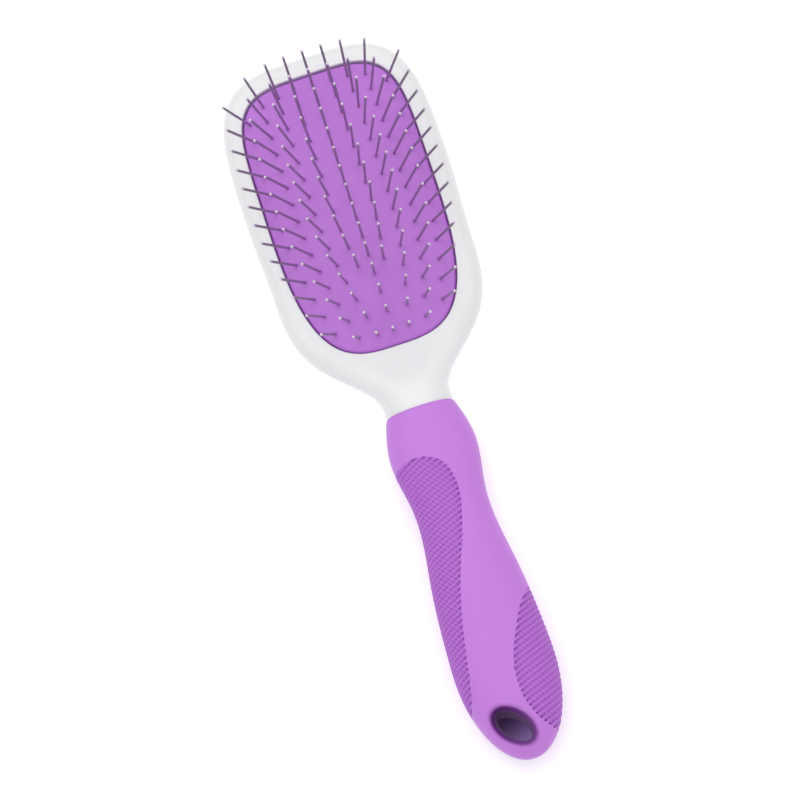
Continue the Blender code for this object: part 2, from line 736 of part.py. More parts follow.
def smooth_path(points, steps):
    """A smooth plan curve through a few points, spaced by the distance between them."""
    points = np.asarray(points, float)
    gaps = np.linalg.norm(np.diff(points, axis=0), axis=1)
    knots = np.concatenate([[0.0], np.cumsum(gaps)])
    at = np.linspace(0.0, knots[-1], steps)
    return np.stack([spline_value(knots, points[:, axis], at) for axis in (0, 1)], axis=1)


def offset_path(path, distance):
    """A plan curve moved sideways, to its left for a positive distance."""
    along = np.gradient(path, axis=0)
    normals = np.stack([-along[:, 1], along[:, 0]], axis=1)
    normals /= np.linalg.norm(normals, axis=1, keepdims=True)
    return path + normals * distance


def panel_edge(side):
    """Edge of a ribbed panel against the smooth band, seen from above."""
    if side == "left":
        points = [(x, COLLAR_Y - down) for x, down in LEFT_EDGE_FROM_COLLAR]
        points += [(x, END_Y + up) for x, up in LEFT_EDGE_FROM_END]
    else:
        points = [(x, END_Y + up) for x, up in RIGHT_EDGE_FROM_END]
    return smooth_path(points, PANEL_EDGE_STEPS)


def panel_prism(name, side, grow):
    """Everything outside a panel's edge on its own side of the handle, as a tall block."""
    sign = -1.0 if side == "left" else 1.0
    edge = offset_path(panel_edge(side), -sign * grow)
    outside = sign * 2 * PALM_HALF_WIDTH
    corners = np.array([(outside, edge[-1][1]), (outside, edge[0][1])])
    outline = np.concatenate([edge, corners])
    return prism_from_outline(name, outline, -PALM_TOP, 2 * PALM_TOP)


def surface_levels(x, y):
    """Lower and upper face of the grip above a plan point; the middle level outside its outline."""
    half_width, middle, half_height = handle_section(y, 0.0)
    across = min(abs(x) / max(half_width, MERGE_DISTANCE), 1.0)
    rise = half_height * (1.0 - across ** GRIP_SQUARENESS) ** (1.0 / GRIP_SQUARENESS)
    return middle - rise, middle + rise


def hang_hole_mesh():
    """The hang hole: an oval whose edge rolls over into the grip's surface at both faces."""
    turn = np.linspace(0.0, 2 * math.pi, HANG_HOLE_SIDES, endpoint=False)
    lean = math.radians(HANG_HOLE_TURN)
    lip = HANG_HOLE_LIP
    roll = [(lip, -2 * lip)]
    for angle in np.radians(np.linspace(0.0, 90.0, LIP_STEPS + 1)):
        roll.append((lip * (1.0 - math.sin(angle)), lip * (1.0 - math.cos(angle))))
    faces = [(1, grow, depth) for grow, depth in roll]
    faces += [(0, grow, -depth) for grow, depth in reversed(roll)]
    rings = []
    for face, grow, depth in faces:
        along = (HANG_HOLE_LENGTH / 2 + grow) * np.cos(turn)
        across = (HANG_HOLE_WIDTH / 2 + grow) * np.sin(turn)
        ring_x = HANG_HOLE_X + along * math.cos(lean) - across * math.sin(lean)
        ring_y = HANG_HOLE_Y + along * math.sin(lean) + across * math.cos(lean)
        ring_z = [surface_levels(x, y)[face] - depth for x, y in zip(ring_x, ring_y)]
        rings.append(np.stack([ring_x, ring_y, ring_z], axis=1))
    return mesh_from_grid("hang_hole", np.array(rings), close_rings=True, cap_ends=True)


def grip_mesh(name):
    """Outer form of the grip, with its front edge rounded over."""
    rings = []
    for turn in np.radians(np.linspace(0.0, 90.0, COLLAR_STEPS + 1)[:-1]):
        y = COLLAR_Y - COLLAR_ROUND * (1.0 - math.cos(turn))
        drawn_in = COLLAR_ROUND * (1.0 - math.sin(turn))
        rings.append(section_ring(y, *handle_section(y, drawn_in), GRIP_SIDES))
    for y in handle_stations(COLLAR_Y - COLLAR_ROUND, 0.0):
        rings.append(section_ring(y, *handle_section(y, 0.0), GRIP_SIDES))
    return mesh_from_grid(name, np.array(rings), close_rings=True, cap_ends=True)


def build_grip():
    """Soft grip: hollow for the tang, pierced by the hang hole, with pockets for the panels."""
    grip = add_object("grip", grip_mesh("grip"), GRIP_RUBBER)
    cavity = tang_mesh("tang_cavity", GRIP_WALL - GRIP_FIT, NECK_Y, TANG_END_Y - GRIP_FIT)
    add_boolean(grip, add_cutter("tang_cavity", cavity), "DIFFERENCE")
    add_boolean(grip, add_cutter("hang_hole", hang_hole_mesh()), "DIFFERENCE")
    for side in ("left", "right"):
        pocket = add_cutter("pocket_" + side, panel_prism("pocket_" + side, side, PANEL_FIT))
        floor = handle_loft("pocket_floor_" + side, PANEL_THICKNESS + PANEL_FIT)
        add_boolean(pocket, add_cutter("pocket_floor_" + side, floor), "DIFFERENCE")
        add_boolean(grip, pocket, "DIFFERENCE")


def build_panel(side):
    """A ribbed panel: the slice of the grip's skin outside its edge."""
    panel = add_object("grip_panel_" + side, grip_mesh("grip_panel_" + side), PANEL_RUBBER)
    block = panel_prism("panel_block_" + side, side, 0.0)
    add_boolean(panel, add_cutter("panel_block_" + side, block), "INTERSECT")
    back = handle_loft("panel_back_" + side, PANEL_THICKNESS)
    add_boolean(panel, add_cutter("panel_back_" + side, back), "DIFFERENCE")


build_head_body()
build_cushion()
build_pin_field()
build_grip()
build_panel("left")
build_panel("right")
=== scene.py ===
import json

import bmesh
import bpy
import numpy as np
from mathutils import Matrix, Vector


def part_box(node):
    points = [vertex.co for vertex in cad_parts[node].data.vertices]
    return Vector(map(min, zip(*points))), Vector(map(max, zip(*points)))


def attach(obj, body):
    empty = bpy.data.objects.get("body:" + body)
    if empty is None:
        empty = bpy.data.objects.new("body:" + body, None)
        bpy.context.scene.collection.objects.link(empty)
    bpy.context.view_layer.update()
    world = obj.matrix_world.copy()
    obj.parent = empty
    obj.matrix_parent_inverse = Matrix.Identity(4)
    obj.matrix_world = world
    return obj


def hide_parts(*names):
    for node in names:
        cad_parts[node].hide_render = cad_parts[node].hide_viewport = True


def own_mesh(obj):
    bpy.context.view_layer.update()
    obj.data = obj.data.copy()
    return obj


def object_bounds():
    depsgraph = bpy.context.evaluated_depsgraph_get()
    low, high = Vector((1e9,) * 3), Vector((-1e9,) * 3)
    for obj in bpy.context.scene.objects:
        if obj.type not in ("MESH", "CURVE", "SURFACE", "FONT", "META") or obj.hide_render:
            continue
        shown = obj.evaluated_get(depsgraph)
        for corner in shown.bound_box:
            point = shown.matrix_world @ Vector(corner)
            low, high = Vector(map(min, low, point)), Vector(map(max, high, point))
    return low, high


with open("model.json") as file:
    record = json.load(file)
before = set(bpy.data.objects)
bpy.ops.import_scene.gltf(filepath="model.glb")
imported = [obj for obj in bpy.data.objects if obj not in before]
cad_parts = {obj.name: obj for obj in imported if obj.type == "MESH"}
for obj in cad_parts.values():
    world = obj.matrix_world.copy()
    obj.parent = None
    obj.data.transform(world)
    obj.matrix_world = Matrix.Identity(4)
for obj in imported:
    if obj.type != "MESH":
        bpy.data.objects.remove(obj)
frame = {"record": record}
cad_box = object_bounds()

# Head and neck. One white plastic moulding: a flat-backed paddle with a rounded rim round a deep
# recess, narrowing through two shoulders to a neck whose tongue runs on inside the grip.
# It is injection moulded, so its skin is smooth and faintly glossy and its lip is slightly rounded.
head_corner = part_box("head_body")[1]
TIP_Y = head_corner.y
END_Y = cad_box[0].y
HEAD_HALF_WIDTH = head_corner.x
HEAD_LENGTH = 0.1191
NECK_Y = TIP_Y - HEAD_LENGTH
HEAD_WIDEST_Y = TIP_Y - 0.0453
HEAD_TIP_SQUARENESS = 3.7
HEAD_TAPER = 0.0011
NECK_HALF_WIDTH = 0.0106
SHOULDER_LENGTH = 0.0436
SHOULDER_MIDDLE = 0.33
SHOULDER_SHARPNESS = 1.75
HEAD_THICKNESS = 0.012
HEAD_WAIST_HEIGHT = 0.007
RIM_EDGE_RADIUS = 0.004
BACK_EDGE_RADIUS = 0.009
NECK_EDGE_RADIUS = 0.0085
NECK_BOTTOM = 0.0024
NECK_TOP = 0.0150
NECK_RISE_LENGTH = 0.016
BACK_RISE_LENGTH = 0.027
NECK_TUCK = 0.0025
COLLAR_Y = NECK_Y - 0.0040
RECESS_FLOOR = 0.003
SLIT_WIDTH = 0.0005
LIP_ROUND = 0.00035
RIM_WIDTH = 0.0068
RIM_TIP_WIDTH = 0.0078
RIM_NECK_WIDTH = 0.0179
PAD_HALF_WIDTH = HEAD_HALF_WIDTH - RIM_WIDTH
PAD_TIP_LENGTH = TIP_Y - RIM_TIP_WIDTH - HEAD_WIDEST_Y
PAD_NECK_LENGTH = HEAD_WIDEST_Y - NECK_Y - RIM_NECK_WIDTH
PAD_TIP_SQUARENESS = 4.15
PAD_NECK_SQUARENESS = 3.3
FLANGE_TOP_Z = HEAD_THICKNESS - 0.0034
FLANGE_WIDTH = 0.0015
CUSHION_WALL = 0.0013
SEAT_CLEARANCE = 0.0003
HEAD_TIP_STEPS = 110
HEAD_SIDE_STEPS = 150
HEAD_EDGE_STEPS = 24
HEAD_TOP_STEPS = 14
LIP_STEPS = 5
FINE_STEPS = 4000
NORMAL_WINDOW = 31
MERGE_DISTANCE = 0.000002
SHARP_ANGLE = 50.0
WHITE = (0.83, 0.83, 0.845)
WHITE_SHADE = (0.76, 0.76, 0.78)


def ease(share):
    """Smooth step: three t squared less two t cubed, level below 0 and above 1."""
    t = np.clip(share, 0.0, 1.0)
    return t * t * (3.0 - 2.0 * t)


def part_way(first, second, share):
    """The value a share of the way from a first to a second."""
    return first + (second - first) * share


def unit(vectors):
    """Vectors scaled to a length of one."""
    return vectors / np.linalg.norm(vectors, axis=-1, keepdims=True)


def walked(curve):
    """Length walked along a curve to each of its points."""
    gaps = np.linalg.norm(np.diff(curve, axis=0), axis=1)
    return np.concatenate([[0.0], np.cumsum(gaps)])


def evenly(curve, count):
    """A plan curve's points moved along it until they lie at equal distances."""
    way = walked(curve)
    at = np.linspace(0.0, way[-1], count)
    return np.stack([np.interp(at, way, column) for column in curve.T], axis=1)


def quarter(half_width, reach, squareness):
    """Quarter of a superellipse from its far end to its side: (x/a)^n + (y/b)^n = 1."""
    turn = np.linspace(0.0, np.pi / 2, FINE_STEPS)
    power = 2.0 / squareness
    x = half_width * np.sin(turn) ** power
    y = reach * np.cos(turn).clip(0.0, 1.0) ** power
    return np.stack([x, y], axis=1)


def head_side(y):
    """Half-width down the side: an eased taper, then a share 1 / (1 + ((1 - t) / (p t)) ^ n)."""
    t = np.clip((y - NECK_Y) / SHOULDER_LENGTH, 1e-6, 1.0)
    pull = (1 - SHOULDER_MIDDLE) / SHOULDER_MIDDLE
    share = 1.0 / (1.0 + ((1.0 - t) / (pull * t)) ** SHOULDER_SHARPNESS)
    straight = HEAD_WIDEST_Y - NECK_Y - SHOULDER_LENGTH
    side = HEAD_HALF_WIDTH - HEAD_TAPER * ease((HEAD_WIDEST_Y - y) / straight)
    return part_way(NECK_HALF_WIDTH, side, share)


def near_neck(y, length):
    """1 from the neck on, eased from 0 over a length of the head before it."""
    return ease((NECK_Y + length - y) / length)


def body_levels(y):
    """Bottom, widest level and top of the moulding at y, each eased from the head to the neck."""
    low_rise = near_neck(y, BACK_RISE_LENGTH)
    top = part_way(HEAD_THICKNESS, NECK_TOP, near_neck(y, NECK_RISE_LENGTH))
    waist = part_way(HEAD_WAIST_HEIGHT, (NECK_BOTTOM + NECK_TOP) / 2, low_rise)
    return NECK_BOTTOM * low_rise, waist, top


def half_pad(grow):
    """Half of the cushion's plan outline, from the tip to the neck, grown outward."""
    tip = quarter(PAD_HALF_WIDTH + grow, PAD_TIP_LENGTH + grow, PAD_TIP_SQUARENESS)
    neck = quarter(PAD_HALF_WIDTH + grow, PAD_NECK_LENGTH + grow, PAD_NECK_SQUARENESS)
    neck = neck[::-1] * (1.0, -1.0)
    tip = evenly(tip, HEAD_TIP_STEPS)
    neck = evenly(neck, HEAD_SIDE_STEPS + 1)[1:]
    return np.concatenate([tip, neck]) + (0.0, HEAD_WIDEST_Y)


def ring_of(half, height):
    """A closed ring from its right half, neck to tip, and the same mirrored to the left."""
    height = np.broadcast_to(height, len(half))
    right = np.column_stack([half, height])[::-1]
    left = np.column_stack([half, height])[1:] * (-1.0, 1.0, 1.0)
    return np.concatenate([right, left])


def soften(rows, window):
    """Each row averaged with its neighbours over a window, the end rows repeated past the ends."""
    padded = np.pad(rows, ((window // 2, window // 2), (0, 0)), mode="edge")
    weights = np.hanning(window + 2)[1:-1]
    weights /= weights.sum()
    columns = [np.convolve(column, weights, mode="valid") for column in padded.T]
    return np.stack(columns, axis=1)


def head_rings():
    """Rings round the moulding: back, edge as two quarter ellipses, rim, lip, groove and floor."""
    tip = quarter(HEAD_HALF_WIDTH, TIP_Y - HEAD_WIDEST_Y, HEAD_TIP_SQUARENESS)
    down = np.linspace(HEAD_WIDEST_Y, COLLAR_Y - NECK_TUCK, FINE_STEPS)
    side = np.stack([head_side(down), down], axis=1)
    tip = evenly(tip + (0.0, HEAD_WIDEST_Y), HEAD_TIP_STEPS)
    outline = np.concatenate([tip, evenly(side, HEAD_SIDE_STEPS + 1)[1:]])
    along = np.gradient(outline, axis=0)
    normals = np.stack([-along[:, 1], along[:, 0]], axis=1)
    normals[0], normals[-1] = (0.0, 1.0), (1.0, 0.0)
    normals = unit(normals)
    normals[HEAD_TIP_STEPS:] = soften(normals[HEAD_TIP_STEPS:], NORMAL_WINDOW)
    narrowing = near_neck(outline[:, 1], BACK_RISE_LENGTH)
    rings = []
    for angle in np.radians(np.linspace(-90.0, 90.0, HEAD_EDGE_STEPS + 1)):
        radius = RIM_EDGE_RADIUS if angle > 0 else BACK_EDGE_RADIUS
        radius = part_way(radius, NECK_EDGE_RADIUS, narrowing)
        place = outline - normals * (radius * (1.0 - np.cos(angle)))[:, None]
        place[:, 0] = place[:, 0].clip(0.0)
        low, waist, top = body_levels(place[:, 1])
        reach = np.where(angle > 0, top - waist, waist - low)
        rings.append(ring_of(place, waist + reach * np.sin(angle)))
    rings.insert(0, rings[0] * (0.0, 1.0, 1.0))
    brow = half_pad(SLIT_WIDTH + LIP_ROUND)
    for share in np.linspace(0.0, 1.0, HEAD_TOP_STEPS + 1)[1:]:
        between = part_way(place, brow, share)
        rings.append(ring_of(between, body_levels(between[:, 1])[2]))
    for angle in np.radians(np.linspace(0.0, 90.0, LIP_STEPS + 1)[1:]):
        grow = SLIT_WIDTH + LIP_ROUND * (1.0 - np.sin(angle))
        rings.append(ring_of(half_pad(grow), HEAD_THICKNESS - LIP_ROUND * (1.0 - np.cos(angle))))
    groove_top = FLANGE_TOP_Z + SEAT_CLEARANCE
    groove_floor = FLANGE_TOP_Z - CUSHION_WALL - SEAT_CLEARANCE
    groove = FLANGE_WIDTH + SEAT_CLEARANCE
    steps = ((SLIT_WIDTH, groove_top), (groove, groove_top), (groove, groove_floor),
             (SLIT_WIDTH, groove_floor), (SLIT_WIDTH, RECESS_FLOOR))
    rings.extend(ring_of(half_pad(grow), height) for grow, height in steps)
    rings.append(rings[-1] * (0.0, 1.0, 1.0))
    return np.array(rings)


def quads_of(rows, columns, closed=True):
    """Corner numbers of a grid's faces; in a closed grid the last column is joined to the first."""
    row = np.arange(rows - 1)[:, None]
    column = np.arange(columns if closed else columns - 1)[None, :]
    after = (column + 1) % columns
    corners = (row * columns + column, row * columns + after,
               (row + 1) * columns + after, (row + 1) * columns + column)
    return np.stack(corners, axis=-1).reshape(-1, 4)


def make_piece(name, points, faces, finish, sharp=SHARP_ANGLE, **values):
    """A closed mesh, doubles merged and facing out, with named values stored at its points."""
    mesh = bpy.data.meshes.new(name)
    mesh.from_pydata(points.reshape(-1, 3), [], faces.tolist())
    for label, value in values.items():
        mesh.attributes.new(label, "FLOAT", "POINT").data.foreach_set("value", value.ravel())
    bm = bmesh.new()
    bm.from_mesh(mesh)
    bmesh.ops.remove_doubles(bm, verts=bm.verts, dist=MERGE_DISTANCE)
    bmesh.ops.dissolve_degenerate(bm, edges=bm.edges, dist=MERGE_DISTANCE / 4)
    bmesh.ops.recalc_face_normals(bm, faces=bm.faces)
    bm.to_mesh(mesh)
    bm.free()
    mesh.shade_smooth()
    mesh.set_sharp_from_angle(angle=np.radians(sharp))
    mesh.materials.append(finish)
    piece = bpy.data.objects.new(name, mesh)
    bpy.context.scene.collection.objects.link(piece)
    return piece


def feed(tree, node, values):
    """Gives a node's inputs their values: sockets are linked, numbers and colours are set."""
    for label, value in values.items():
        socket = node.inputs[label]
        if isinstance(value, bpy.types.NodeSocket):
            tree.links.new(value, socket)
        else:
            socket.default_value = (*value, 1.0) if socket.type == "RGBA" else value


def math_node(tree, operation, *values):
    """A Math node on sockets and numbers."""
    node = tree.nodes.new("ShaderNodeMath")
    node.operation = operation
    feed(tree, node, dict(enumerate(values)))
    return node.outputs[0]


def noise_node(tree, scale, detail, vector):
    """A noise pattern on the piece's own coordinates, from 0 to 1."""
    node = tree.nodes.new("ShaderNodeTexNoise")
    feed(tree, node, {"Scale": scale, "Detail": detail, "Vector": vector})
    return node.outputs["Fac"]


def mix_colours(tree, share, first, second):
    """A Mix node between two colours, each a socket or a fixed colour."""
    node = tree.nodes.new("ShaderNodeMix")
    node.data_type = "RGBA"
    feed(tree, node, {0: share, 6: first, 7: second})
    return node.outputs[2]


def make_moulded_skin():
    """Skin of a moulded part: cloudy colour, fine grain in its height, slightly uneven roughness."""
    group = bpy.data.node_groups.new("moulded_skin", "ShaderNodeTree")
    numbers = ("Cloud Scale", "Cloud Share", "Grain Scale", "Roughness", "Roughness Spread")
    for way, kind, labels in (("INPUT", "Color", ("Colour", "Shade")), ("INPUT", "Float", numbers),
                              ("OUTPUT", "Color", ("Colour",)),
                              ("OUTPUT", "Float", ("Roughness", "Height"))):
        for label in labels:
            group.interface.new_socket(label, in_out=way, socket_type="NodeSocket" + kind)
    given = group.nodes.new("NodeGroupInput").outputs
    out = group.nodes.new("NodeGroupOutput")
    place = group.nodes.new("ShaderNodeTexCoord").outputs["Object"]
    clouds = noise_node(group, given["Cloud Scale"], 4.0, place)
    grain = noise_node(group, given["Grain Scale"], 2.0, place)
    share = math_node(group, "MULTIPLY", clouds, given["Cloud Share"])
    colour = mix_colours(group, share, given["Colour"], given["Shade"])
    from_middle = math_node(group, "SUBTRACT", clouds, 0.5)
    rough = math_node(group, "MULTIPLY_ADD", from_middle, given["Roughness Spread"], given["Roughness"])
    feed(group, out, {"Colour": colour, "Roughness": rough, "Height": grain})
    return group


MOULDED_SKIN = make_moulded_skin()


def new_finish(name):
    """A material, its node tree and its shader."""
    finish = bpy.data.materials.new(name)
    finish.use_nodes = True
    return finish, finish.node_tree, finish.node_tree.nodes["Principled BSDF"]


def add_skin(tree, **values):
    """The moulded skin placed in a material with its own colours and values; gives its outputs."""
    node = tree.nodes.new("ShaderNodeGroup")
    node.node_tree = MOULDED_SKIN
    feed(tree, node, {label.replace("_", " ").title(): value for label, value in values.items()})
    return (node.outputs[label] for label in ("Colour", "Roughness", "Height"))


def lead_in(tree, colour, rough, height, distance, strength):
    """Colour, roughness and a bump of a height led into the shader."""
    shader = tree.nodes["Principled BSDF"]
    bump = tree.nodes.new("ShaderNodeBump")
    feed(tree, bump, {"Distance": distance, "Strength": strength, "Height": height})
    feed(tree, shader, {"Base Color": colour, "Roughness": rough, "Normal": bump.outputs[0]})


def white_plastic_finish():
    """White plastic: nearly even in colour, half glossy, with a trace of moulding grain."""
    finish, tree, _ = new_finish("white_plastic")
    colour, rough, height = add_skin(
        tree, colour=WHITE, shade=WHITE_SHADE, cloud_scale=35.0, cloud_share=0.35,
        grain_scale=1800.0, roughness=0.33, roughness_spread=0.12)
    lead_in(tree, colour, rough, height, distance=0.00003, strength=0.25)
    return finish


head_grid = head_rings()
head_faces = quads_of(*head_grid.shape[:2])
head = make_piece("head_and_neck", head_grid, head_faces, white_plastic_finish())
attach(head, "brush_body")
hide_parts("head_body")

# Cushion. A thin domed diaphragm of purple rubber, moulded in one, that seals air in the recess.
# Its edge rolls over into a side wall and a flange, which snaps into the groove round the recess.
# The rubber dips a little where each pin goes through it.
CROWN_HEIGHT = 0.0063
CROWN_POWER = 2.5
CUSHION_EDGE_Z = HEAD_THICKNESS - 0.0008
CUSHION_EDGE_ROUND = 0.0007
CUSHION_STEPS = 241
CUSHION_ROUND_STEPS = 6
CUSHION_ROLL_START = 30.0
CUSHION_UNDERSIDE = (0.9, 0.7, 0.5, 0.25)
DIMPLE_DEPTH = 0.00022
DIMPLE_RADIUS = 0.0008
SLOPE_STEP = 0.0001
CUSHION_PURPLE = (0.560, 0.215, 0.735)
CUSHION_SHADE = (0.490, 0.175, 0.670)
RUBBER_IOR = 1.36


def pad_shape(y):
    """Squareness and reach of the cushion's outline on either side of its widest place."""
    towards_tip = y >= HEAD_WIDEST_Y
    squareness = np.where(towards_tip, PAD_TIP_SQUARENESS, PAD_NECK_SQUARENESS)
    reach = np.where(towards_tip, PAD_TIP_LENGTH, PAD_NECK_LENGTH)
    return squareness, reach


def pad_radius(x, y, inset=0.0):
    """0 at the crown and 1 on the cushion's outline, set in by an amount: the superellipse's radius."""
    squareness, reach = pad_shape(y)
    across = np.abs(x / (PAD_HALF_WIDTH - inset)) ** squareness
    along = np.abs((y - HEAD_WIDEST_Y) / (reach - inset)) ** squareness
    return (across + along) ** (1.0 / squareness)


def crown_z(x, y):
    """Height of the dome: its edge plus the crown times one less the radius to a power."""
    return CUSHION_EDGE_Z + CROWN_HEIGHT * (1.0 - pad_radius(x, y) ** CROWN_POWER)


def crown_normal(x, y):
    """Unit normals of the dome, from central differences of its height."""
    slope_x = (crown_z(x + SLOPE_STEP, y) - crown_z(x - SLOPE_STEP, y)) / (2 * SLOPE_STEP)
    slope_y = (crown_z(x, y + SLOPE_STEP) - crown_z(x, y - SLOPE_STEP)) / (2 * SLOPE_STEP)
    return unit(np.stack([-slope_x, -slope_y, np.ones_like(slope_x)], axis=-1))


def square_to_pad(u, v):
    """A square of side 2 laid over the pad: each square ring becomes a smaller copy of its edge."""
    size = np.maximum(np.abs(u), np.abs(v))
    ends = np.abs(v) >= np.abs(u)
    share = np.where(ends, u, v) / np.maximum(size, 1e-12)
    squareness, reach = pad_shape(HEAD_WIDEST_Y + v)
    near = share * 2.0 ** (-1.0 / squareness)
    far = (1.0 - np.abs(near) ** squareness) ** (1.0 / squareness)
    across = size * np.where(ends, near, np.sign(u) * far)
    along = size * np.where(ends, np.sign(v) * far, near)
    return across * PAD_HALF_WIDTH, HEAD_WIDEST_Y + along * reach


# Columns of pins, which the cushion's dimples and the pins themselves share
PIN_PITCH = 0.00605
PIN_MARGIN = 0.0046
SIDE_PIN_LEAN = 0.09
COLUMNS = 9
ZONES = ("neck", "middle", "tip")
COLUMN_INNER_X = 0.0062
COLUMN_MARGIN = 0.00375
COLUMN_PITCH = (PAD_HALF_WIDTH - COLUMN_MARGIN - COLUMN_INNER_X) / (COLUMNS // 2 - 1)
COLUMN_TIP_BEND = 0.0011
COLUMN_BEND = 0.007
COLUMN_BEND_START_Y = HEAD_WIDEST_Y - 0.0078
COLUMN_BEND_LENGTH = 0.044
COLUMN_SPACE = 0.0042
COLUMN_END_ROUNDS = 40


def column_x(column, y):
    """Where a column runs at y: bent in by a cosine toward the neck and a square toward the tip."""
    rank = column - COLUMNS // 2
    if rank == 0:
        return np.zeros_like(y)
    base = COLUMN_INNER_X + (abs(rank) - 1) * COLUMN_PITCH
    share = np.clip((COLUMN_BEND_START_Y - y) / COLUMN_BEND_LENGTH, 0.0, 1.0)
    bend = COLUMN_BEND * (1.0 - np.cos(share * np.pi / 2))
    tip_share = np.maximum(y - HEAD_WIDEST_Y, 0.0) / PAD_TIP_LENGTH
    tip_bend = COLUMN_TIP_BEND * tip_share ** 2 * base / COLUMN_INNER_X / (COLUMNS // 2)
    return np.sign(rank) * (base - bend - tip_bend)


def column_end(column, side):
    """Last place of a column: a margin inside the cushion's edge, and clear of the middle column."""
    squareness, reach = pad_shape(HEAD_WIDEST_Y if side > 0 else END_Y)
    y = HEAD_WIDEST_Y
    for _ in range(COLUMN_END_ROUNDS):
        across = min(abs(float(column_x(column, np.array(y)))) / PAD_HALF_WIDTH, 1.0)
        edge = reach * (1.0 - across ** squareness) ** (1.0 / squareness)
        y = HEAD_WIDEST_Y + side * (edge - PIN_MARGIN)
    rank = abs(column - COLUMNS // 2)
    shift = COLUMN_INNER_X + (rank - 1) * COLUMN_PITCH - COLUMN_SPACE
    if side < 0 and rank and shift < COLUMN_BEND:
        share = np.arccos(1.0 - shift / COLUMN_BEND) / (np.pi / 2)
        y = max(y, COLUMN_BEND_START_Y - share * COLUMN_BEND_LENGTH)
    return y


def column_places(column):
    """Evenly spaced places of one column's pins, from the neck to the tip."""
    first, last = column_end(column, -1), column_end(column, 1)
    y = np.linspace(first, last, int(round((last - first) / PIN_PITCH)) + 1)
    return np.stack([column_x(column, y), y], axis=1)


PIN_PLACES = [column_places(column) for column in range(COLUMNS)]


def dimples(x, y):
    """Depth of the dips round the pins: a bell curve of the distance to the nearest pin."""
    nearest = np.full(x.shape, np.inf)
    for place in np.concatenate(PIN_PLACES):
        nearest = np.minimum(nearest, (x - place[0]) ** 2 + (y - place[1]) ** 2)
    return DIMPLE_DEPTH * np.exp(-nearest / DIMPLE_RADIUS ** 2)


def cushion_surface():
    """The dome on a square grid, then rings from its border: rolled edge, wall, flange, underside."""
    line = np.linspace(-1.0, 1.0, CUSHION_STEPS)
    u, v = np.meshgrid(line, line)
    x, y = square_to_pad(u, v)
    inset = 1.0 - CUSHION_EDGE_ROUND / PAD_HALF_WIDTH
    x, y = x * inset, HEAD_WIDEST_Y + (y - HEAD_WIDEST_Y) * inset
    dome = np.stack([x, y, crown_z(x, y) - dimples(x, y)], axis=-1)
    numbers = np.arange(CUSHION_STEPS ** 2).reshape(CUSHION_STEPS, CUSHION_STEPS)
    border = np.concatenate([numbers[0, :-1], numbers[:-1, -1],
                             numbers[-1, :0:-1], numbers[:0:-1, 0]])
    rim = dome.reshape(-1, 3)[border]
    outward = np.stack([x, y - HEAD_WIDEST_Y], axis=-1).reshape(-1, 2)[border]
    outline_share = 1.0 / inset - 1.0
    rings = []
    drop = rim[:, 2] - (CUSHION_EDGE_Z - CUSHION_EDGE_ROUND)
    start = np.radians(CUSHION_ROLL_START)
    for angle in np.linspace(start, np.pi / 2, CUSHION_ROUND_STEPS + 1)[1:]:
        out = (np.sin(angle) - np.sin(start)) / (1.0 - np.sin(start))
        place = rim[:, :2] + outward * outline_share * out
        down = drop * (1.0 - np.cos(angle) / np.cos(start))
        rings.append(np.column_stack([place, rim[:, 2] - down]))
    edge = rings[-1][:, :2]
    away = unit(outward)
    wall = CUSHION_WALL
    for grow, height in ((0.0, FLANGE_TOP_Z), (FLANGE_WIDTH, FLANGE_TOP_Z),
                         (FLANGE_WIDTH, FLANGE_TOP_Z - wall), (-wall, FLANGE_TOP_Z - wall),
                         (-wall, CUSHION_EDGE_Z - wall)):
        rings.append(np.column_stack([edge + away * grow, np.full(len(edge), height)]))
    inner = rings[-1][:, :2] - (0.0, HEAD_WIDEST_Y)
    for share in CUSHION_UNDERSIDE + (0.0,):
        place = inner * share + (0.0, HEAD_WIDEST_Y)
        rings.append(np.column_stack([place, crown_z(place[:, 0], place[:, 1]) - wall]))
    skirt = np.array(rings)
    skirt_numbers = CUSHION_STEPS ** 2 + np.arange(skirt.shape[0] * skirt.shape[1])
    skirt_numbers = np.concatenate([border[None, :], skirt_numbers.reshape(skirt.shape[:2])])
    faces = skirt_numbers.ravel()[quads_of(*skirt_numbers.shape)]
    top_faces = quads_of(CUSHION_STEPS, CUSHION_STEPS, closed=False)
    points = np.concatenate([dome.reshape(-1, 3), skirt.reshape(-1, 3)])
    return points, np.concatenate([top_faces, faces])


def cushion_finish():
    """Soft purple rubber: mottled a little, matt, with a fine grain."""
    finish, tree, shader = new_finish("cushion_rubber")
    colour, rough, height = add_skin(
        tree, colour=CUSHION_PURPLE, shade=CUSHION_SHADE, cloud_scale=120.0, cloud_share=0.8,
        grain_scale=1500.0, roughness=0.52, roughness_spread=0.15)
    feed(tree, shader, {"IOR": RUBBER_IOR})
    lead_in(tree, colour, rough, height, distance=0.00006, strength=0.4)
    return finish


cushion_points, cushion_faces = cushion_surface()
cushion = make_piece("cushion_dome", cushion_points, cushion_faces, cushion_finish())
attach(cushion, "brush_body")
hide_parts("cushion")
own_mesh(cushion)

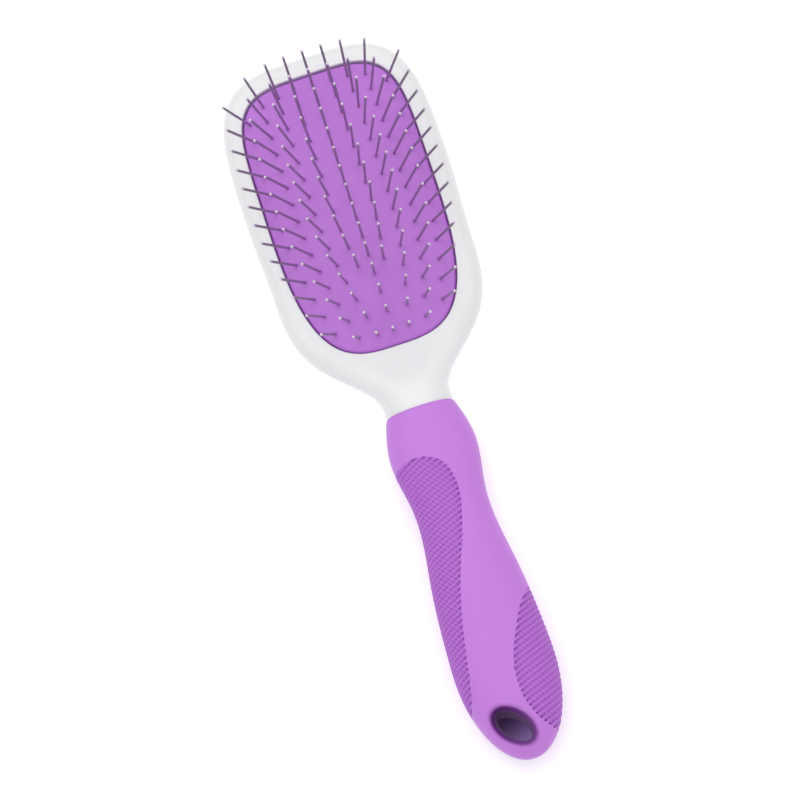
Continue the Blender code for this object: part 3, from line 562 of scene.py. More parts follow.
# Pins. Straight steel wires with polished round tips, which stand square to the dome, so they splay.
# Each goes through the rubber and is fast in a strip of the backing under it, which sinks with it.
PIN_LENGTH = 0.018
PIN_RADIUS = 0.00042
PIN_TIP_RADIUS = 0.00052
PIN_TIP_LENGTH = 0.0013
PIN_SIDES = 8
STRIP_GAP = 0.0005
STRIP_WIDTH = 0.0030
STRIP_THICKNESS = 0.0008
STRIP_END_GAP = 0.0006
STRIP_EDGE_GAP = 0.0005
PIN_FOOT_DEPTH = 0.0005
TIP_TURNS = (90.0, 60.0, 30.0, 0.0)
WIRE_GREY = (0.30, 0.35, 0.28)
# Painted reflection: the wires take a purple colour over the cushion, standing for the rubber mirrored in
# the steel.
PAINTED_PURPLE_REFLECTION = (0.42, 0.31, 0.46)
# Polished steel of the round tips, with a pink tint that is a painted reflection of the cushion.
POLISHED_TIP_PAINTED_PINK = (0.76, 0.66, 0.79)
WIRE_METAL = 0.45
MIRRORED_METAL = 0.45
MIRROR_AT_TOP = 0.55
MIRROR_START = 0.93
MIRROR_FADE = 0.07
DRAWN_SCALE = 900.0
DRAWN_SPREAD = 0.06
STEEL_ROUGHNESS = 0.28


def pin_profile():
    """(radius, height) down one pin: round tip as a quarter circle, waist, straight wire, foot."""
    turn = np.radians(TIP_TURNS)
    ball = np.stack([PIN_TIP_RADIUS * np.cos(turn),
                     PIN_LENGTH - PIN_TIP_RADIUS + PIN_TIP_RADIUS * np.sin(turn)], axis=1)
    foot = -(CUSHION_WALL + STRIP_GAP + PIN_FOOT_DEPTH)
    wire = ((PIN_RADIUS, PIN_LENGTH - PIN_TIP_LENGTH), (PIN_RADIUS, foot), (0.0, foot))
    return np.concatenate([ball, wire])


def pin_points(places):
    """All pins of a group: the profile turned round each pin's own line, square to the dome."""
    x, y = places[:, 0], places[:, 1]
    lean = SIDE_PIN_LEAN * (np.abs(x) / PAD_HALF_WIDTH) ** PAD_NECK_SQUARENESS
    line = unit(crown_normal(x, y) - np.stack([0 * x, lean, 0 * x], axis=1))
    across = unit(np.cross(line, (0.0, 1.0, 0.0)))
    other = np.cross(line, across)
    root = np.column_stack([places, crown_z(x, y)])
    turn = np.linspace(0.0, 2 * np.pi, PIN_SIDES, endpoint=False)
    radius, height = pin_profile().T
    points = root[:, None, None] + height[None, :, None, None] * line[:, None, None]
    across, other = across[:, None, None], other[:, None, None]
    around = np.cos(turn)[:, None] * across + np.sin(turn)[:, None] * other
    return points + radius[None, :, None, None] * around


def inside_wall(x, y):
    """The place itself, or the nearest toward the crown that clears the cushion's side wall."""
    share = 1.0 / np.maximum(pad_radius(x, y, CUSHION_WALL + STRIP_EDGE_GAP), 1.0)
    return x * share, HEAD_WIDEST_Y + (y - HEAD_WIDEST_Y) * share


def strip_points(column, rows):
    """A backing strip as rings of four corners, a set depth under the dome, closed at both ends."""
    corners = []
    for side, depth in ((-1, 0.0), (1, 0.0), (1, STRIP_THICKNESS), (-1, STRIP_THICKNESS)):
        x, y = inside_wall(column_x(column, rows) + side * STRIP_WIDTH / 2, rows)
        below = CUSHION_WALL + STRIP_GAP + depth
        corners.append(np.stack([x, y, crown_z(x, y)], axis=1) - crown_normal(x, y) * below)
    rings = np.stack(corners, axis=1)
    middle = rings.mean(axis=1, keepdims=True).repeat(4, axis=1)
    return np.concatenate([middle[:1], rings, middle[-1:]])


def point_value(tree, name):
    """A value stored at a piece's points."""
    node = tree.nodes.new("ShaderNodeAttribute")
    node.attribute_name = name
    return node.outputs["Fac"]


def pin_finish():
    """Steel: polished on the tip, with a painted pink reflection there, grey over the rim, and a painted
    purple reflection of the rubber over the cushion.
    """
    finish, tree, shader = new_finish("pin_steel")
    tip = point_value(tree, "polish")
    inside = point_value(tree, "over_cushion")
    place = tree.nodes.new("ShaderNodeTexCoord").outputs["Object"]
    drawn = noise_node(tree, DRAWN_SCALE, 2.0, place)
    wire = mix_colours(tree, inside, WIRE_GREY, PAINTED_PURPLE_REFLECTION)
    wire_metal = math_node(tree, "MULTIPLY_ADD", inside, MIRRORED_METAL, WIRE_METAL)
    colour = mix_colours(tree, tip, wire, POLISHED_TIP_PAINTED_PINK)
    metal = math_node(tree, "MAXIMUM", wire_metal, tip)
    rough = math_node(tree, "MULTIPLY_ADD", drawn, DRAWN_SPREAD, STEEL_ROUGHNESS)
    feed(tree, shader, {"Base Color": colour, "Metallic": metal, "Roughness": rough})
    return finish


PIN_STEEL = pin_finish()
bodies = frame["record"]["behaviour"]["bodies"]
body_of_node = {node: body for body, nodes in bodies.items() for node in nodes}
for column, places in enumerate(PIN_PLACES):
    pitch = places[1, 1] - places[0, 1]
    for zone, group in zip(ZONES, np.array_split(places, len(ZONES))):
        node = "pins_column_%d_%s" % (column + 1, zone)
        half = (pitch - STRIP_END_GAP) / 2
        rows = np.concatenate([[group[0, 1] - half], group[:, 1], [group[-1, 1] + half]])
        wires, strip = pin_points(group), strip_points(column, rows)
        rings = wires.shape[1]
        wire_end = wires[..., 0].size
        one = quads_of(rings, PIN_SIDES)
        faces = [one + i * rings * PIN_SIDES for i in range(len(group))]
        faces = np.concatenate(faces + [quads_of(*strip.shape[:2]) + wire_end])
        points = np.concatenate([wires.reshape(-1, 3), strip.reshape(-1, 3)])
        ring = np.full(len(points), rings)
        ring[:wire_end] = np.broadcast_to(np.arange(rings)[:, None], wires.shape[:3]).ravel()
        # Share of painted purple reflection: full low on the wire over the cushion, less toward the tip,
        # fading out over the rim.
        from_rim = (pad_radius(points[:, 0], points[:, 1]) - MIRROR_START) / MIRROR_FADE
        painted_reflection_share = np.where(ring > len(TIP_TURNS), 1.0, MIRROR_AT_TOP) * (1.0 - ease(from_rim))
        pins = make_piece("steel_" + node, points, faces, PIN_STEEL,
                          polish=1.0 * (ring < len(TIP_TURNS)), over_cushion=painted_reflection_share)
        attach(pins, body_of_node[node])
        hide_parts(node)

# Grip. A thick sleeve of soft purple rubber moulded over the tongue of the neck, waisted for the
# finger and thumb, with a round end pierced by a slanted hole to hang it by.
# Two shallow beds are left in its skin for the ribbed panels.
COLLAR_HALF_WIDTH = NECK_HALF_WIDTH + 0.0004
COLLAR_BOTTOM = NECK_BOTTOM - 0.0011
COLLAR_TOP = NECK_TOP + 0.0011
COLLAR_ROUND = 0.0016
BULGE_Y = COLLAR_Y - 0.0129
WAIST_Y = COLLAR_Y - 0.0289
PALM_Y = END_Y + 0.0315
SWELL_Y = (WAIST_Y + PALM_Y) / 2
STATIONS = (PALM_Y, SWELL_Y, WAIST_Y, BULGE_Y, COLLAR_Y)
HALF_WIDTHS = (0.0155, 0.0137, 0.0117, 0.0137, COLLAR_HALF_WIDTH)
BOTTOMS = (0.0, 0.0006, 0.0016, 0.0009, COLLAR_BOTTOM)
TOPS = (0.0208, 0.0194, 0.0174, 0.0177, COLLAR_TOP)
END_ROUND_LENGTH = 0.029
GRIP_SQUARENESS = 2.3
GRIP_WALL = 0.003
GRIP_FIT = 0.0003
NECK_PLAY = 0.0001
PANEL_THICKNESS = 0.0012
BED_SLOPE = 0.00035
BED_SNAP = 0.00022
SECTION_FLATNESS = 0.66
HOLE_X = -0.0029
HOLE_Y = END_Y + 0.0102
HOLE_LENGTH = 0.0125
HOLE_WIDTH = 0.0068
HOLE_TURN = np.radians(-47.0)
HOLE_LIP = 0.0016
HOLE_WAIST = 0.0006
HOLE_SHADE_EDGE = 0.87
HOLE_SHADE_BLUR = 0.22
HOLE_PAINTED_LIGHT = 0.17
TANG_HOLE_GAP = 0.004
TANG_END_Y = HOLE_Y + HOLE_LENGTH / 2 + HOLE_LIP + TANG_HOLE_GAP
GRIP_SIDES = 208
GRIP_STEPS = 230
END_STEPS = 90
COLLAR_STEPS = 8
INSIDE_STEPS = 30
ARC_STEPS = 2000
HOLE_LIP_STEPS = 12
THROAT_STEPS = 10
EDGE_STEPS = 240
GRIP_SHARP_ANGLE = 60.0
OFF_PANEL = -0.05
LEFT_EDGE_FROM_COLLAR = ((-0.0150, 0.0188), (-0.0100, 0.0161), (-0.0040, 0.0159),
                         (0.0020, 0.0199), (0.0038, 0.0273), (0.0010, 0.0404))
LEFT_EDGE_FROM_END = ((-0.0043, 0.0565), (-0.0091, 0.0375), (-0.0124, 0.0215), (-0.0170, 0.0095))
RIGHT_EDGE_FROM_END = ((0.0170, 0.0515), (0.0118, 0.0460), (0.0075, 0.0385), (0.0036, 0.0295),
                       (0.0022, 0.0215), (0.0040, 0.0125), (0.0085, 0.0060), (0.0150, 0.0015))
GRIP_PURPLE = (0.570, 0.220, 0.735)
GRIP_SHADE = (0.530, 0.190, 0.690)
# Painted shade: a near-black purple mixed into the grip's colour deep in the hang hole, paled toward its
# far end by painted light.
HOLE_PAINTED_SHADE = (0.078, 0.006, 0.135)
RUBBER_SHEEN = 0.15
SHEEN_ROUGHNESS = 0.4


def spline_value(knots, values, at):
    """Natural cubic spline through a few stations, held level past both ends."""
    knots, values = np.asarray(knots, float), np.asarray(values, float)
    steps = np.diff(knots)
    slopes = np.diff(values) / steps
    count = len(knots)
    matrix, right = np.eye(count), np.zeros(count)
    for i in range(1, count - 1):
        matrix[i, i - 1:i + 2] = steps[i - 1], 2 * (steps[i - 1] + steps[i]), steps[i]
        right[i] = 6 * (slopes[i] - slopes[i - 1])
    bend = np.linalg.solve(matrix, right)
    x = np.clip(at, knots[0], knots[-1])
    k = np.clip(np.searchsorted(knots, x) - 1, 0, count - 2)
    a = (knots[k + 1] - x) / steps[k]
    b = 1.0 - a
    cubic = ((a ** 3 - a) * bend[k] + (b ** 3 - b) * bend[k + 1]) * steps[k] ** 2 / 6
    return a * values[k] + b * values[k + 1] + cubic


def handle_section(y, inset):
    """Half-width, middle and half-height of the handle at y: splines, and a quarter ellipse at the end."""
    width = spline_value(STATIONS, HALF_WIDTHS, y)
    low = spline_value(STATIONS, BOTTOMS, y)
    top = spline_value(STATIONS, TOPS, y)
    past = np.clip((END_Y + END_ROUND_LENGTH - y) / (END_ROUND_LENGTH - inset), 0.0, 1.0)
    close = np.sqrt(1.0 - past ** 2)
    return (width - inset) * close, (top + low) / 2, ((top - low) / 2 - inset) * close


def bent(value):
    """The value's sign times its size to the power 2 / n, which makes a superellipse of a circle."""
    return np.sign(value) * np.abs(value) ** (2.0 / GRIP_SQUARENESS)


def handle_point(y, turn, inset):
    """A point of the handle's skin: a superellipse section turned through an angle from +X."""
    half_width, middle, half_height = handle_section(y, inset)
    x = half_width * bent(np.cos(turn))
    z = middle + half_height * bent(np.sin(turn))
    return np.stack([x, np.broadcast_to(y, x.shape), z], axis=-1)


def smooth_path(points, steps):
    """A plan curve through a few points: a natural spline for each coordinate over the way walked."""
    points = np.asarray(points, float)
    way = walked(points)
    at = np.linspace(0.0, way[-1], steps)
    return np.stack([spline_value(way, column, at) for column in points.T], axis=1)


def panel_edge(side):
    """Plan curve of a panel's edge against the smooth band."""
    if side == "left":
        points = [(x, COLLAR_Y - down) for x, down in LEFT_EDGE_FROM_COLLAR]
        points += [(x, END_Y + up) for x, up in LEFT_EDGE_FROM_END]
    else:
        points = [(x, END_Y + up) for x, up in RIGHT_EDGE_FROM_END]
    return smooth_path(points, EDGE_STEPS)


def arc_lengths():
    """Turn from the widest line of a section one wide, and the length walked round it to there."""
    turn = np.linspace(0.0, np.pi, ARC_STEPS)
    x, z = bent(np.cos(turn)), SECTION_FLATNESS * bent(np.sin(turn).clip(0.0))
    return turn, walked(np.stack([x, z], axis=1))


ARC_TURNS, ARC_LENGTHS = arc_lengths()


def unroll(turn, y, side):
    """Signed length round the skin from a side's widest line, positive on top."""
    swing = np.pi - turn if side == "left" else np.where(turn > np.pi, turn - 2 * np.pi, turn)
    length = np.interp(np.abs(swing), ARC_TURNS, ARC_LENGTHS)
    return np.sign(swing) * length * handle_section(y, 0.0)[0]


def roll_up(length, y, side):
    """The turn that belongs to a signed length round the skin."""
    width = np.maximum(handle_section(y, 0.0)[0], 1e-9)
    swing = np.sign(length) * np.interp(np.abs(length) / width, ARC_LENGTHS, ARC_TURNS)
    return np.pi - swing if side == "left" else np.where(swing < 0, swing + 2 * np.pi, swing)


def edge_lengths(side):
    """A panel's edge on the unrolled skin: length in from the widest line, and y."""
    edge = panel_edge(side)
    width = handle_section(edge[:, 1], 0.0)[0]
    share = edge[:, 0] / width * (-1.0 if side == "left" else 1.0)
    power = GRIP_SQUARENESS / 2
    swing = np.arccos(np.sign(share) * np.minimum(np.abs(share), 1.0) ** power)
    past = np.maximum(share - 1.0, 0.0)
    length = width * (np.interp(swing, ARC_TURNS, ARC_LENGTHS) - past)
    return np.stack([length, edge[:, 1]], axis=1)


def nearest_on_edge(length, y, side):
    """Signed distance from a panel's edge, positive on the panel, and the edge's nearest place."""
    edge = edge_lengths(side)
    start, end = edge[:-1], edge[1:]
    nearest = np.full(length.shape, np.inf)
    place = np.zeros(length.shape + (2,))
    for (ax, ay), (bx, by) in zip(start, end):
        dx, dy = bx - ax, by - ay
        share = np.clip(((length - ax) * dx + (y - ay) * dy) / (dx * dx + dy * dy), 0.0, 1.0)
        foot = np.stack([ax + share * dx, ay + share * dy], axis=-1)
        gap = np.hypot(length - foot[..., 0], y - foot[..., 1])
        closer = gap < nearest
        nearest = np.where(closer, gap, nearest)
        place = np.where(closer[..., None], foot, place)
    loop = np.concatenate([edge, [(OFF_PANEL, edge[-1, 1]), (OFF_PANEL, edge[0, 1])]])
    inside = np.zeros(length.shape, bool)
    for (ax, ay), (bx, by) in zip(loop, np.roll(loop, -1, axis=0)):
        if ay != by:
            inside ^= ((ay > y) != (by > y)) & (length < (bx - ax) * (y - ay) / (by - ay) + ax)
    return np.where(inside, nearest, -nearest), place


def hole_radius(x, y, grow):
    """1 on the hang hole's oval grown by an amount, less inside it; also the shares of its axes."""
    along = (x - HOLE_X) * np.cos(HOLE_TURN) + (y - HOLE_Y) * np.sin(HOLE_TURN)
    across = -(x - HOLE_X) * np.sin(HOLE_TURN) + (y - HOLE_Y) * np.cos(HOLE_TURN)
    a, b = along / (HOLE_LENGTH / 2 + grow), across / (HOLE_WIDTH / 2 + grow)
    return np.hypot(a, b), a, b


def surface_level(x, y, face):
    """Height of the handle's upper (face 1) or lower (face -1) skin over a plan point."""
    half_width, middle, half_height = handle_section(y, 0.0)
    across = np.minimum(np.abs(x) / np.maximum(half_width, 1e-9), 1.0)
    rise = (1.0 - across ** GRIP_SQUARENESS) ** (1.0 / GRIP_SQUARENESS)
    return middle + face * half_height * rise


def grip_surface():
    """The sleeve as rings along the handle, from its end over the collar and back along its inside."""
    turn = np.linspace(0.0, 2 * np.pi, GRIP_SIDES, endpoint=False)
    round_start = END_Y + END_ROUND_LENGTH
    bend = np.radians(np.linspace(90.0, 0.0, END_STEPS + 1))
    end = round_start - END_ROUND_LENGTH * np.sin(bend)
    body = np.linspace(round_start, COLLAR_Y - COLLAR_ROUND, GRIP_STEPS)[1:]
    y = np.concatenate([end, body])
    y, around = np.meshgrid(y, turn, indexing="ij")
    sunk = np.zeros(y.shape)
    for side in ("left", "right"):
        length = unroll(around, y, side)
        depth, place = nearest_on_edge(np.abs(length), y, side)
        near = np.abs(depth) < BED_SNAP
        y = np.where(near, place[..., 1], y)
        snapped = roll_up(np.sign(length) * place[..., 0], y, side)
        around = np.where(near, snapped, around)
        sunk = np.maximum(sunk, np.where(near, 0.0, ease(depth / BED_SLOPE)))
    outer = handle_point(y, around, (PANEL_THICKNESS + GRIP_FIT) * sunk)
    roll = []
    mouth = COLLAR_HALF_WIDTH - NECK_HALF_WIDTH - NECK_PLAY
    for angle in np.radians(np.linspace(0.0, 90.0, COLLAR_STEPS + 1)[1:]):
        at = COLLAR_Y - COLLAR_ROUND * (1.0 - np.sin(angle))
        roll.append(handle_point(at, turn, mouth * (1.0 - np.cos(angle))))
    seat = COLLAR_Y - NECK_TUCK - GRIP_FIT
    inside = [handle_point(seat, turn, mouth)]
    for at in np.linspace(seat, TANG_END_Y - GRIP_FIT, INSIDE_STEPS):
        inside.append(handle_point(at, turn, GRIP_WALL - GRIP_FIT))
    last = inside[-1].mean(axis=0, keepdims=True).repeat(GRIP_SIDES, axis=0)
    return np.concatenate([outer, np.array(roll), np.array(inside + [last])])


def hole_place(along, across):
    """Plan point at distances along the hang hole's two axes."""
    x = HOLE_X + along * np.cos(HOLE_TURN) - across * np.sin(HOLE_TURN)
    y = HOLE_Y + along * np.sin(HOLE_TURN) + across * np.cos(HOLE_TURN)
    return x, y


def pierce(rings):
    """Opens the hang hole: faces inside its lip go, and rings roll from their edge down the throat.

    The lip is a quarter circle of radius HOLE_LIP, and the throat draws in by a sine of its share.
    """
    points = rings.reshape(-1, 3)
    faces = quads_of(*rings.shape[:2])
    size, a, b = hole_radius(points[:, 0], points[:, 1], HOLE_LIP)
    gone = (size < 1.0)[faces].any(axis=1)
    border = np.intersect1d(faces[gone], faces[~gone])
    middle = handle_section(points[border, 1], 0.0)[1]
    loops = []
    for face in (1, -1):
        loop = border[(points[border, 2] - middle) * face > 0]
        loops.append(loop[np.argsort(np.arctan2(b[loop], a[loop]))])
    loop_turn = np.arctan2(b[loops[0]], a[loops[0]])
    rows = []
    for face in (1, -1):
        roll = []
        for angle in np.radians(np.linspace(0.0, 90.0, HOLE_LIP_STEPS + 1)):
            grow = HOLE_LIP * (1.0 - np.sin(angle))
            x, y = hole_place((HOLE_LENGTH / 2 + grow) * np.cos(loop_turn),
                              (HOLE_WIDTH / 2 + grow) * np.sin(loop_turn))
            depth = face * HOLE_LIP * (1.0 - np.cos(angle))
            roll.append(np.stack([x, y, surface_level(x, y, face) - depth], axis=1))
        rows.append(roll)
    points = points.copy()
    points[loops[0]], points[loops[1]] = rows[0][0], rows[1][0]
    top, low = rows[0][-1], rows[1][-1]
    out_x, out_y = hole_place(np.cos(loop_turn), np.sin(loop_turn))
    inward = np.stack([HOLE_X - out_x, HOLE_Y - out_y, 0 * loop_turn], axis=1) * HOLE_WAIST
    throat = [part_way(top, low, share) + inward * np.sin(np.pi * share)
              for share in np.linspace(0.0, 1.0, THROAT_STEPS + 1)[1:-1]]
    walls = np.array(rows[0][1:] + throat + rows[1][:0:-1])
    numbers = len(points) + np.arange(walls[..., 0].size).reshape(walls.shape[:2])
    numbers = np.concatenate([loops[0][None], numbers, loops[1][None]])
    wall_faces = numbers.ravel()[quads_of(*numbers.shape)]
    points = np.concatenate([points, walls.reshape(-1, 3)])
    return points, np.concatenate([faces[~gone], wall_faces])


def hole_shade(points):
    """Share of painted shade: 1 deep in the hang hole, less toward its far end where painted light pales
    it, and eased down to 0 on the skin round it.
    """
    size, along, _ = hole_radius(points[:, 0], points[:, 1], HOLE_LIP)
    painted_light = 1.0 - HOLE_PAINTED_LIGHT * ease((along + 1.0) / 2)
    return painted_light * (1.0 - ease((size - HOLE_SHADE_EDGE) / HOLE_SHADE_BLUR))


def grip_finish():
    """Soft-touch rubber: smooth, satin, a dusty sheen at its edges, and painted shade deep in the hang
    hole, paler toward its far end.
    """
    finish, tree, shader = new_finish("grip_rubber")
    colour, rough, height = add_skin(
        tree, colour=GRIP_PURPLE, shade=GRIP_SHADE, cloud_scale=45.0, cloud_share=0.6,
        grain_scale=2600.0, roughness=0.50, roughness_spread=0.1)
    # Painted shade in the hang hole, from the share stored at the grip's points.
    painted_shade_in_hole = point_value(tree, "hole")
    colour = mix_colours(tree, painted_shade_in_hole, colour, HOLE_PAINTED_SHADE)
    rough = math_node(tree, "MAXIMUM", rough, painted_shade_in_hole)
    feed(tree, shader, {"IOR": RUBBER_IOR, "Sheen Weight": RUBBER_SHEEN,
                        "Sheen Roughness": SHEEN_ROUGHNESS})
    lead_in(tree, colour, rough, height, distance=0.00004, strength=0.35)
    return finish


grip_points, grip_faces = pierce(grip_surface())
grip = make_piece("grip_sleeve", grip_points, grip_faces, grip_finish(),
                  sharp=GRIP_SHARP_ANGLE, hole=hole_shade(grip_points))
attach(grip, "brush_body")
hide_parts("grip")

# Ribbed panels. Two thin inlays of darker purple rubber, wrapped round the sides of the grip.
# Slanting ribs with cross cuts are moulded into them, and their grooves end in notches at the edge.
PANEL_ROWS = {"left": 340, "right": 210}
PANEL_COLUMNS = {"left": 181, "right": 161}
PANEL_BACK_COLUMNS = 11
PANEL_TOP_DROP = {"left": 0.0045, "right": 0.0}
PANEL_TOP_FADE = 0.014
RIB_PITCH = 0.00154
RIB_LEAN = np.radians(20.8)
RIB_DEPTH = 0.00022
CROSS_PITCH = 0.00121
CROSS_LEAN = np.radians(-49.0)
CROSS_DEPTH = 0.00015
RIB_STAND = 0.00010
NOTCH_DEPTH = 0.00035
NOTCH_REACH = 0.0006
RIB_END_REACH = 0.0005
GROOVE_POWER = 1.5
GROOVE_SHADE = 0.42
CROSSING_SHADE = 0.60
NOTCH_SHADE = 1.8
CUT_SHADE = 0.20
PANEL_SHARP_ANGLE = 75.0
PANEL_PURPLE = (0.510, 0.170, 0.680)
PANEL_SHADE = (0.460, 0.135, 0.620)
# Painted shade down in the grooves and notches; the rib ends at the edge get painted light in the grip's
# colour.
GROOVE_PAINTED_SHADE = (0.20, 0.045, 0.33)
GROOVE_SHARE = 0.60


def from_widest_line(edge):
    """An edge from where it first crosses the widest line of the handle on."""
    first = int(np.argmax(edge[:, 0] > 0))
    share = edge[first - 1, 0] / (edge[first - 1, 0] - edge[first, 0])
    start = part_way(edge[first - 1], edge[first], share)
    return np.concatenate([[start], edge[first:]])


def panel_field(side, columns, rows):
    """The panel on the unrolled skin: level rows between its edge and the mirror image of it below.

    The highest part of the edge is the grid's own top side, whose bend fades out down the rows.
    """
    edge = from_widest_line(edge_lengths(side))
    edge = from_widest_line(edge[::-1])[::-1]
    peak = int(np.argmax(edge[:, 1]))
    corner = peak + int(np.argmax(edge[peak:, 1] <= edge[peak, 1] - PANEL_TOP_DROP[side]))
    sides = evenly(edge[corner:], rows)
    across = np.linspace(-1.0, 1.0, columns)
    field = sides[:, None, :] * np.stack([across, np.ones(columns)], axis=1)
    if corner:
        arch = np.concatenate([edge[corner:0:-1] * (-1.0, 1.0), edge[:corner + 1]])
        arch = evenly(arch, columns)
        fade = ease(1.0 - (sides[0, 1] - sides[:, 1]) / PANEL_TOP_FADE)
        field = field + (arch - field[0]) * fade[:, None, None]
    return field


def slant_grooves(across, y, lean, pitch):
    """1 on the middle lines of slanting grooves and 0 between them: a raised cosine to a power."""
    along = y * np.cos(lean) - across * np.sin(lean)
    return (0.5 - 0.5 * np.cos(2 * np.pi * along / pitch)) ** GROOVE_POWER


def ribs(length, y, side):
    """How far the skin stands out, less the depth of the grooves on one slant and on the other.

    Also a painted shade: above 0 down in the grooves and their notches, below 0 painted light on the ends
    of the ribs at the edge.
    """
    quarter_length = np.interp(np.pi / 2, ARC_TURNS, ARC_LENGTHS) * handle_section(y, 0.0)[0]
    across = (quarter_length - length) * (-1.0 if side == "left" else 1.0)
    groove = slant_grooves(across, y, RIB_LEAN, RIB_PITCH)
    cut = slant_grooves(across, y, CROSS_LEAN, CROSS_PITCH)
    from_edge = np.abs(nearest_on_edge(np.abs(length), y, side)[0])
    notch = np.exp(-from_edge / NOTCH_REACH)
    rib_end_painted_light = np.exp(-(from_edge / RIB_END_REACH) ** 2) * (1.0 - groove)
    depth = groove * (RIB_DEPTH + NOTCH_DEPTH * notch) + cut * CROSS_DEPTH
    shade = groove * (GROOVE_SHADE + CROSSING_SHADE * cut + NOTCH_SHADE * notch)
    shade = shade + CUT_SHADE * cut * (1.0 - notch) - rib_end_painted_light
    return RIB_STAND - depth, shade


def panel_surface(side):
    """A panel's ribbed face on its field, then its plain back, as one ring of points for each row."""
    count = PANEL_COLUMNS[side]
    face = panel_field(side, count, PANEL_ROWS[side])
    places = np.round(np.linspace(count - 1, 0, PANEL_BACK_COLUMNS)).astype(int)
    field = np.concatenate([face, face[:, places]], axis=1)
    length, y = field[..., 0], field[..., 1]
    stand, groove = ribs(length, y, side)
    on_face = np.arange(field.shape[1]) < count
    inset = np.where(on_face, -stand, PANEL_THICKNESS)
    points = handle_point(y, roll_up(length, y, side), inset)
    # Painted shade in grooves and notches and painted light on rib ends, on the face only.
    shade = np.where(on_face, groove, 0.0)
    if PANEL_TOP_DROP[side]:
        turn = roll_up(length[0, :count], y[0, :count], side)
        under = handle_point(y[0, :count], turn, PANEL_THICKNESS)
        last = np.concatenate([under, points[0, count:]])
        points = np.concatenate([last[None], points])
        shade = np.concatenate([0 * shade[:1], shade])
    return points, shade


def panel_finish():
    """Darker rubber, matt, with painted shade down in the grooves and painted light, as pale as the grip,
    on the rib ends.
    """
    finish, tree, shader = new_finish("panel_rubber")
    colour, rough, height = add_skin(
        tree, colour=PANEL_PURPLE, shade=PANEL_SHADE, cloud_scale=70.0, cloud_share=0.6,
        grain_scale=3000.0, roughness=0.55, roughness_spread=0.1)
    # The stored groove value is painted shade above 0 and painted light on rib ends below 0.
    groove = point_value(tree, "groove")
    rib_end_painted_light = math_node(tree, "MULTIPLY", groove, -1.0)
    colour = mix_colours(tree, rib_end_painted_light, colour, GRIP_PURPLE)
    share = math_node(tree, "MULTIPLY", groove, GROOVE_SHARE)
    colour = mix_colours(tree, share, colour, GROOVE_PAINTED_SHADE)
    feed(tree, shader, {"IOR": RUBBER_IOR})
    lead_in(tree, colour, rough, height, distance=0.00004, strength=0.4)
    return finish


PANEL_RUBBER = panel_finish()
for side in ("left", "right"):
    panel_points, painted_groove_shade = panel_surface(side)
    panel = make_piece("ribbed_panel_" + side, panel_points, quads_of(*panel_points.shape[:2]),
                       PANEL_RUBBER, sharp=PANEL_SHARP_ANGLE, groove=painted_groove_shade)
    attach(panel, "brush_body")
    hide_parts("grip_panel_" + side)

# Floor. The plain pale sheet that the brush lies on, with no horizon in view.
# The sheet has painted shade under the hang hole, as far as it is seen through the hole.
FLOOR_SIZE = 16.0
FLOOR_DROP = 0.0002
FLOOR_GLOW = (0.27, 0.27, 0.27)
SHEET_WHITE = (0.95, 0.95, 0.95)
SHEET_CLOUD = (0.94, 0.94, 0.945)
SHEET_CLOUD_SCALE = 8.0
SHEET_ROUGHNESS = 0.9
OVAL_START = 1.25
OVAL_END = 1.75
OVAL_SEEN_FROM = 0.88
OVAL_SEEN_WHOLE = 0.97
# Painted shade on the sheet under the hang hole: pale purple at one end of the hole's length, near black
# at the other.
OVAL_PAINTED_SHADE_PALE = (0.52, 0.36, 0.78)
OVAL_PAINTED_SHADE_DARK = (0.09, 0.045, 0.13)
OVAL_SLOPE = -0.55
OVAL_MIDDLE = 0.56


def ease_node(tree, value, start, end):
    """A smooth step from 0 where a value is at a start to 1 where it is at an end."""
    node = tree.nodes.new("ShaderNodeMapRange")
    node.interpolation_type = "SMOOTHSTEP"
    feed(tree, node, {"Value": value, "From Min": start, "From Max": end})
    return node.outputs["Result"]


def parts_of(tree, vector):
    """The X, Y and Z of a vector."""
    node = tree.nodes.new("ShaderNodeSeparateXYZ")
    feed(tree, node, {"Vector": vector})
    return node.outputs


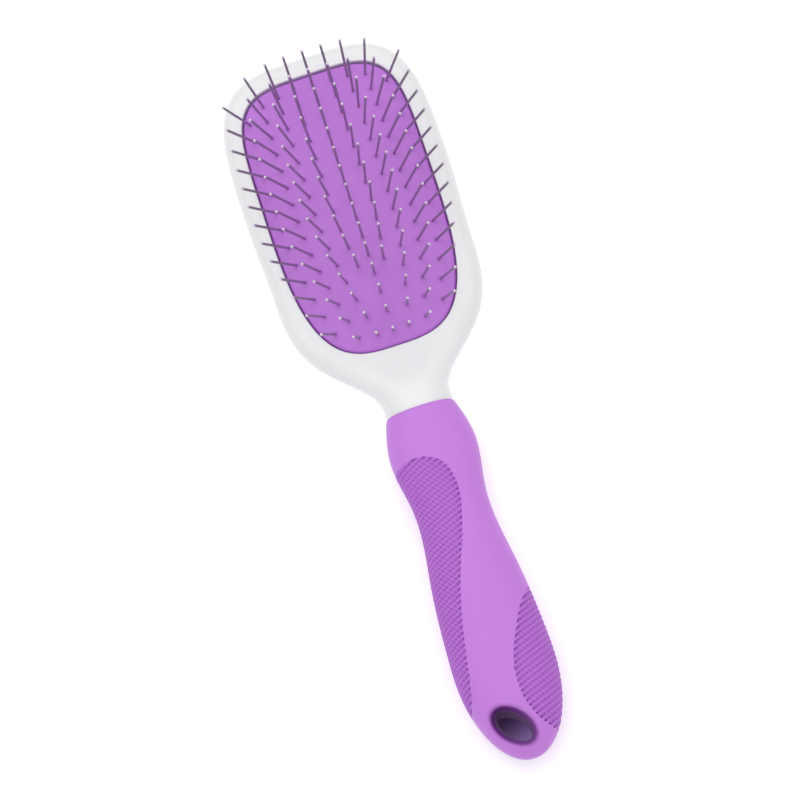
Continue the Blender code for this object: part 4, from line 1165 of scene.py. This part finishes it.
def floor_finish():
    """Matt white sheet with a faint glow, and an oval of painted shade without the glow under the hang
    hole, seen from near above.
    """
    finish, tree, shader = new_finish("white_sheet")
    place = tree.nodes.new("ShaderNodeTexCoord").outputs["Object"]
    clouds = noise_node(tree, SHEET_CLOUD_SCALE, 3.0, place)
    colour = mix_colours(tree, clouds, SHEET_WHITE, SHEET_CLOUD)
    oval = tree.nodes.new("ShaderNodeMapping")
    oval.vector_type = "TEXTURE"
    feed(tree, oval, {"Vector": place, "Location": (HOLE_X, HOLE_Y, -FLOOR_DROP),
                      "Rotation": (0.0, 0.0, HOLE_TURN),
                      "Scale": (HOLE_LENGTH / 2, HOLE_WIDTH / 2, 1.0)})
    away = tree.nodes.new("ShaderNodeVectorMath")
    away.operation = "LENGTH"
    feed(tree, away, {0: oval.outputs["Vector"]})
    toward_viewer = tree.nodes.new("ShaderNodeNewGeometry").outputs["Incoming"]
    outside = ease_node(tree, away.outputs["Value"], OVAL_START, OVAL_END)
    from_low = ease_node(tree, parts_of(tree, toward_viewer)["Z"], OVAL_SEEN_WHOLE, OVAL_SEEN_FROM)
    plain = math_node(tree, "MAXIMUM", outside, from_low)
    glow = mix_colours(tree, plain, (0.0, 0.0, 0.0), FLOOR_GLOW)
    along = parts_of(tree, oval.outputs["Vector"])["X"]
    painted_shade_depth = math_node(tree, "MULTIPLY_ADD", along, OVAL_SLOPE, OVAL_MIDDLE)
    shade = mix_colours(tree, painted_shade_depth, OVAL_PAINTED_SHADE_PALE, OVAL_PAINTED_SHADE_DARK)
    colour = mix_colours(tree, plain, shade, colour)
    feed(tree, shader, {"Base Color": colour, "Roughness": SHEET_ROUGHNESS,
                        "Emission Color": glow, "Emission Strength": 1.0})
    return finish


corners = np.array([(-1, -1, 0), (1, -1, 0), (1, 1, 0), (-1, 1, 0)]) * FLOOR_SIZE / 2
corners = corners - (0, 0, FLOOR_DROP)
sheet = bpy.data.meshes.new("floor_sheet")
sheet.from_pydata(corners.tolist(), [], [(0, 1, 2, 3)])
sheet.materials.append(floor_finish())
floor = bpy.data.objects.new("floor_sheet", sheet)
bpy.context.scene.collection.objects.link(floor)

# Light. A white studio: light from all round that is strongest overhead, and one broad soft lamp
# high beyond the head of the brush, so that shadows stay short and pale.
SKY_OVERHEAD = (1.20, 1.20, 1.20)
SKY_AT_HORIZON = (0.30, 0.30, 0.305)
SKY_POWER = 1.3
LAMP_PLACE = Vector((-0.05, 0.35, 1.00))
LAMP_AIM = Vector((0.0, 0.02, 0.0))
LAMP_SIZE = 0.8
LAMP_WATTS = 2.6
scene = bpy.context.scene
scene.view_settings.view_transform = "Standard"
world = bpy.data.worlds.new("white_studio")
world.use_nodes = True
tree = world.node_tree
height = parts_of(tree, tree.nodes.new("ShaderNodeTexCoord").outputs["Generated"])["Z"]
share = math_node(tree, "POWER", math_node(tree, "MAXIMUM", height, 0.0), SKY_POWER)
sky = mix_colours(tree, share, SKY_AT_HORIZON, SKY_OVERHEAD)
feed(tree, tree.nodes["Background"], {"Color": sky})
scene.world = world
lamp = bpy.data.lights.new("lamp_above", "AREA")
lamp.size = LAMP_SIZE
lamp.energy = LAMP_WATTS
holder = bpy.data.objects.new("lamp_above", lamp)
facing = (LAMP_AIM - LAMP_PLACE).to_track_quat("-Z", "Y").to_matrix().to_4x4()
holder.matrix_world = Matrix.Translation(LAMP_PLACE) @ facing
scene.collection.objects.link(holder)

# Camera. Almost straight above, tipped toward the handle and rolled so that the brush slants.
CAMERA_TARGET = Vector((-0.0048, 0.0, 0.008))
CAMERA_DISTANCE = 0.8
CAMERA_TIP = np.radians(15.0)
CAMERA_ROLL = np.radians(18.2)
CAMERA_LENS = 117.0
CAMERA_SENSOR = 36.0
back = Vector((0.0, -np.sin(CAMERA_TIP), np.cos(CAMERA_TIP)))
level = Vector((0.0, np.cos(CAMERA_TIP), np.sin(CAMERA_TIP)))
across = Vector((1.0, 0.0, 0.0))
right = np.cos(CAMERA_ROLL) * across - np.sin(CAMERA_ROLL) * level
up = np.sin(CAMERA_ROLL) * across + np.cos(CAMERA_ROLL) * level
lens = bpy.data.cameras.new("camera")
lens.lens = CAMERA_LENS
lens.sensor_width = CAMERA_SENSOR
camera = bpy.data.objects.new("camera", lens)
facing = Matrix((right, up, back)).transposed().to_4x4()
camera.matrix_world = Matrix.Translation(CAMERA_TARGET + back * CAMERA_DISTANCE) @ facing
scene.collection.objects.link(camera)
scene.camera = camera
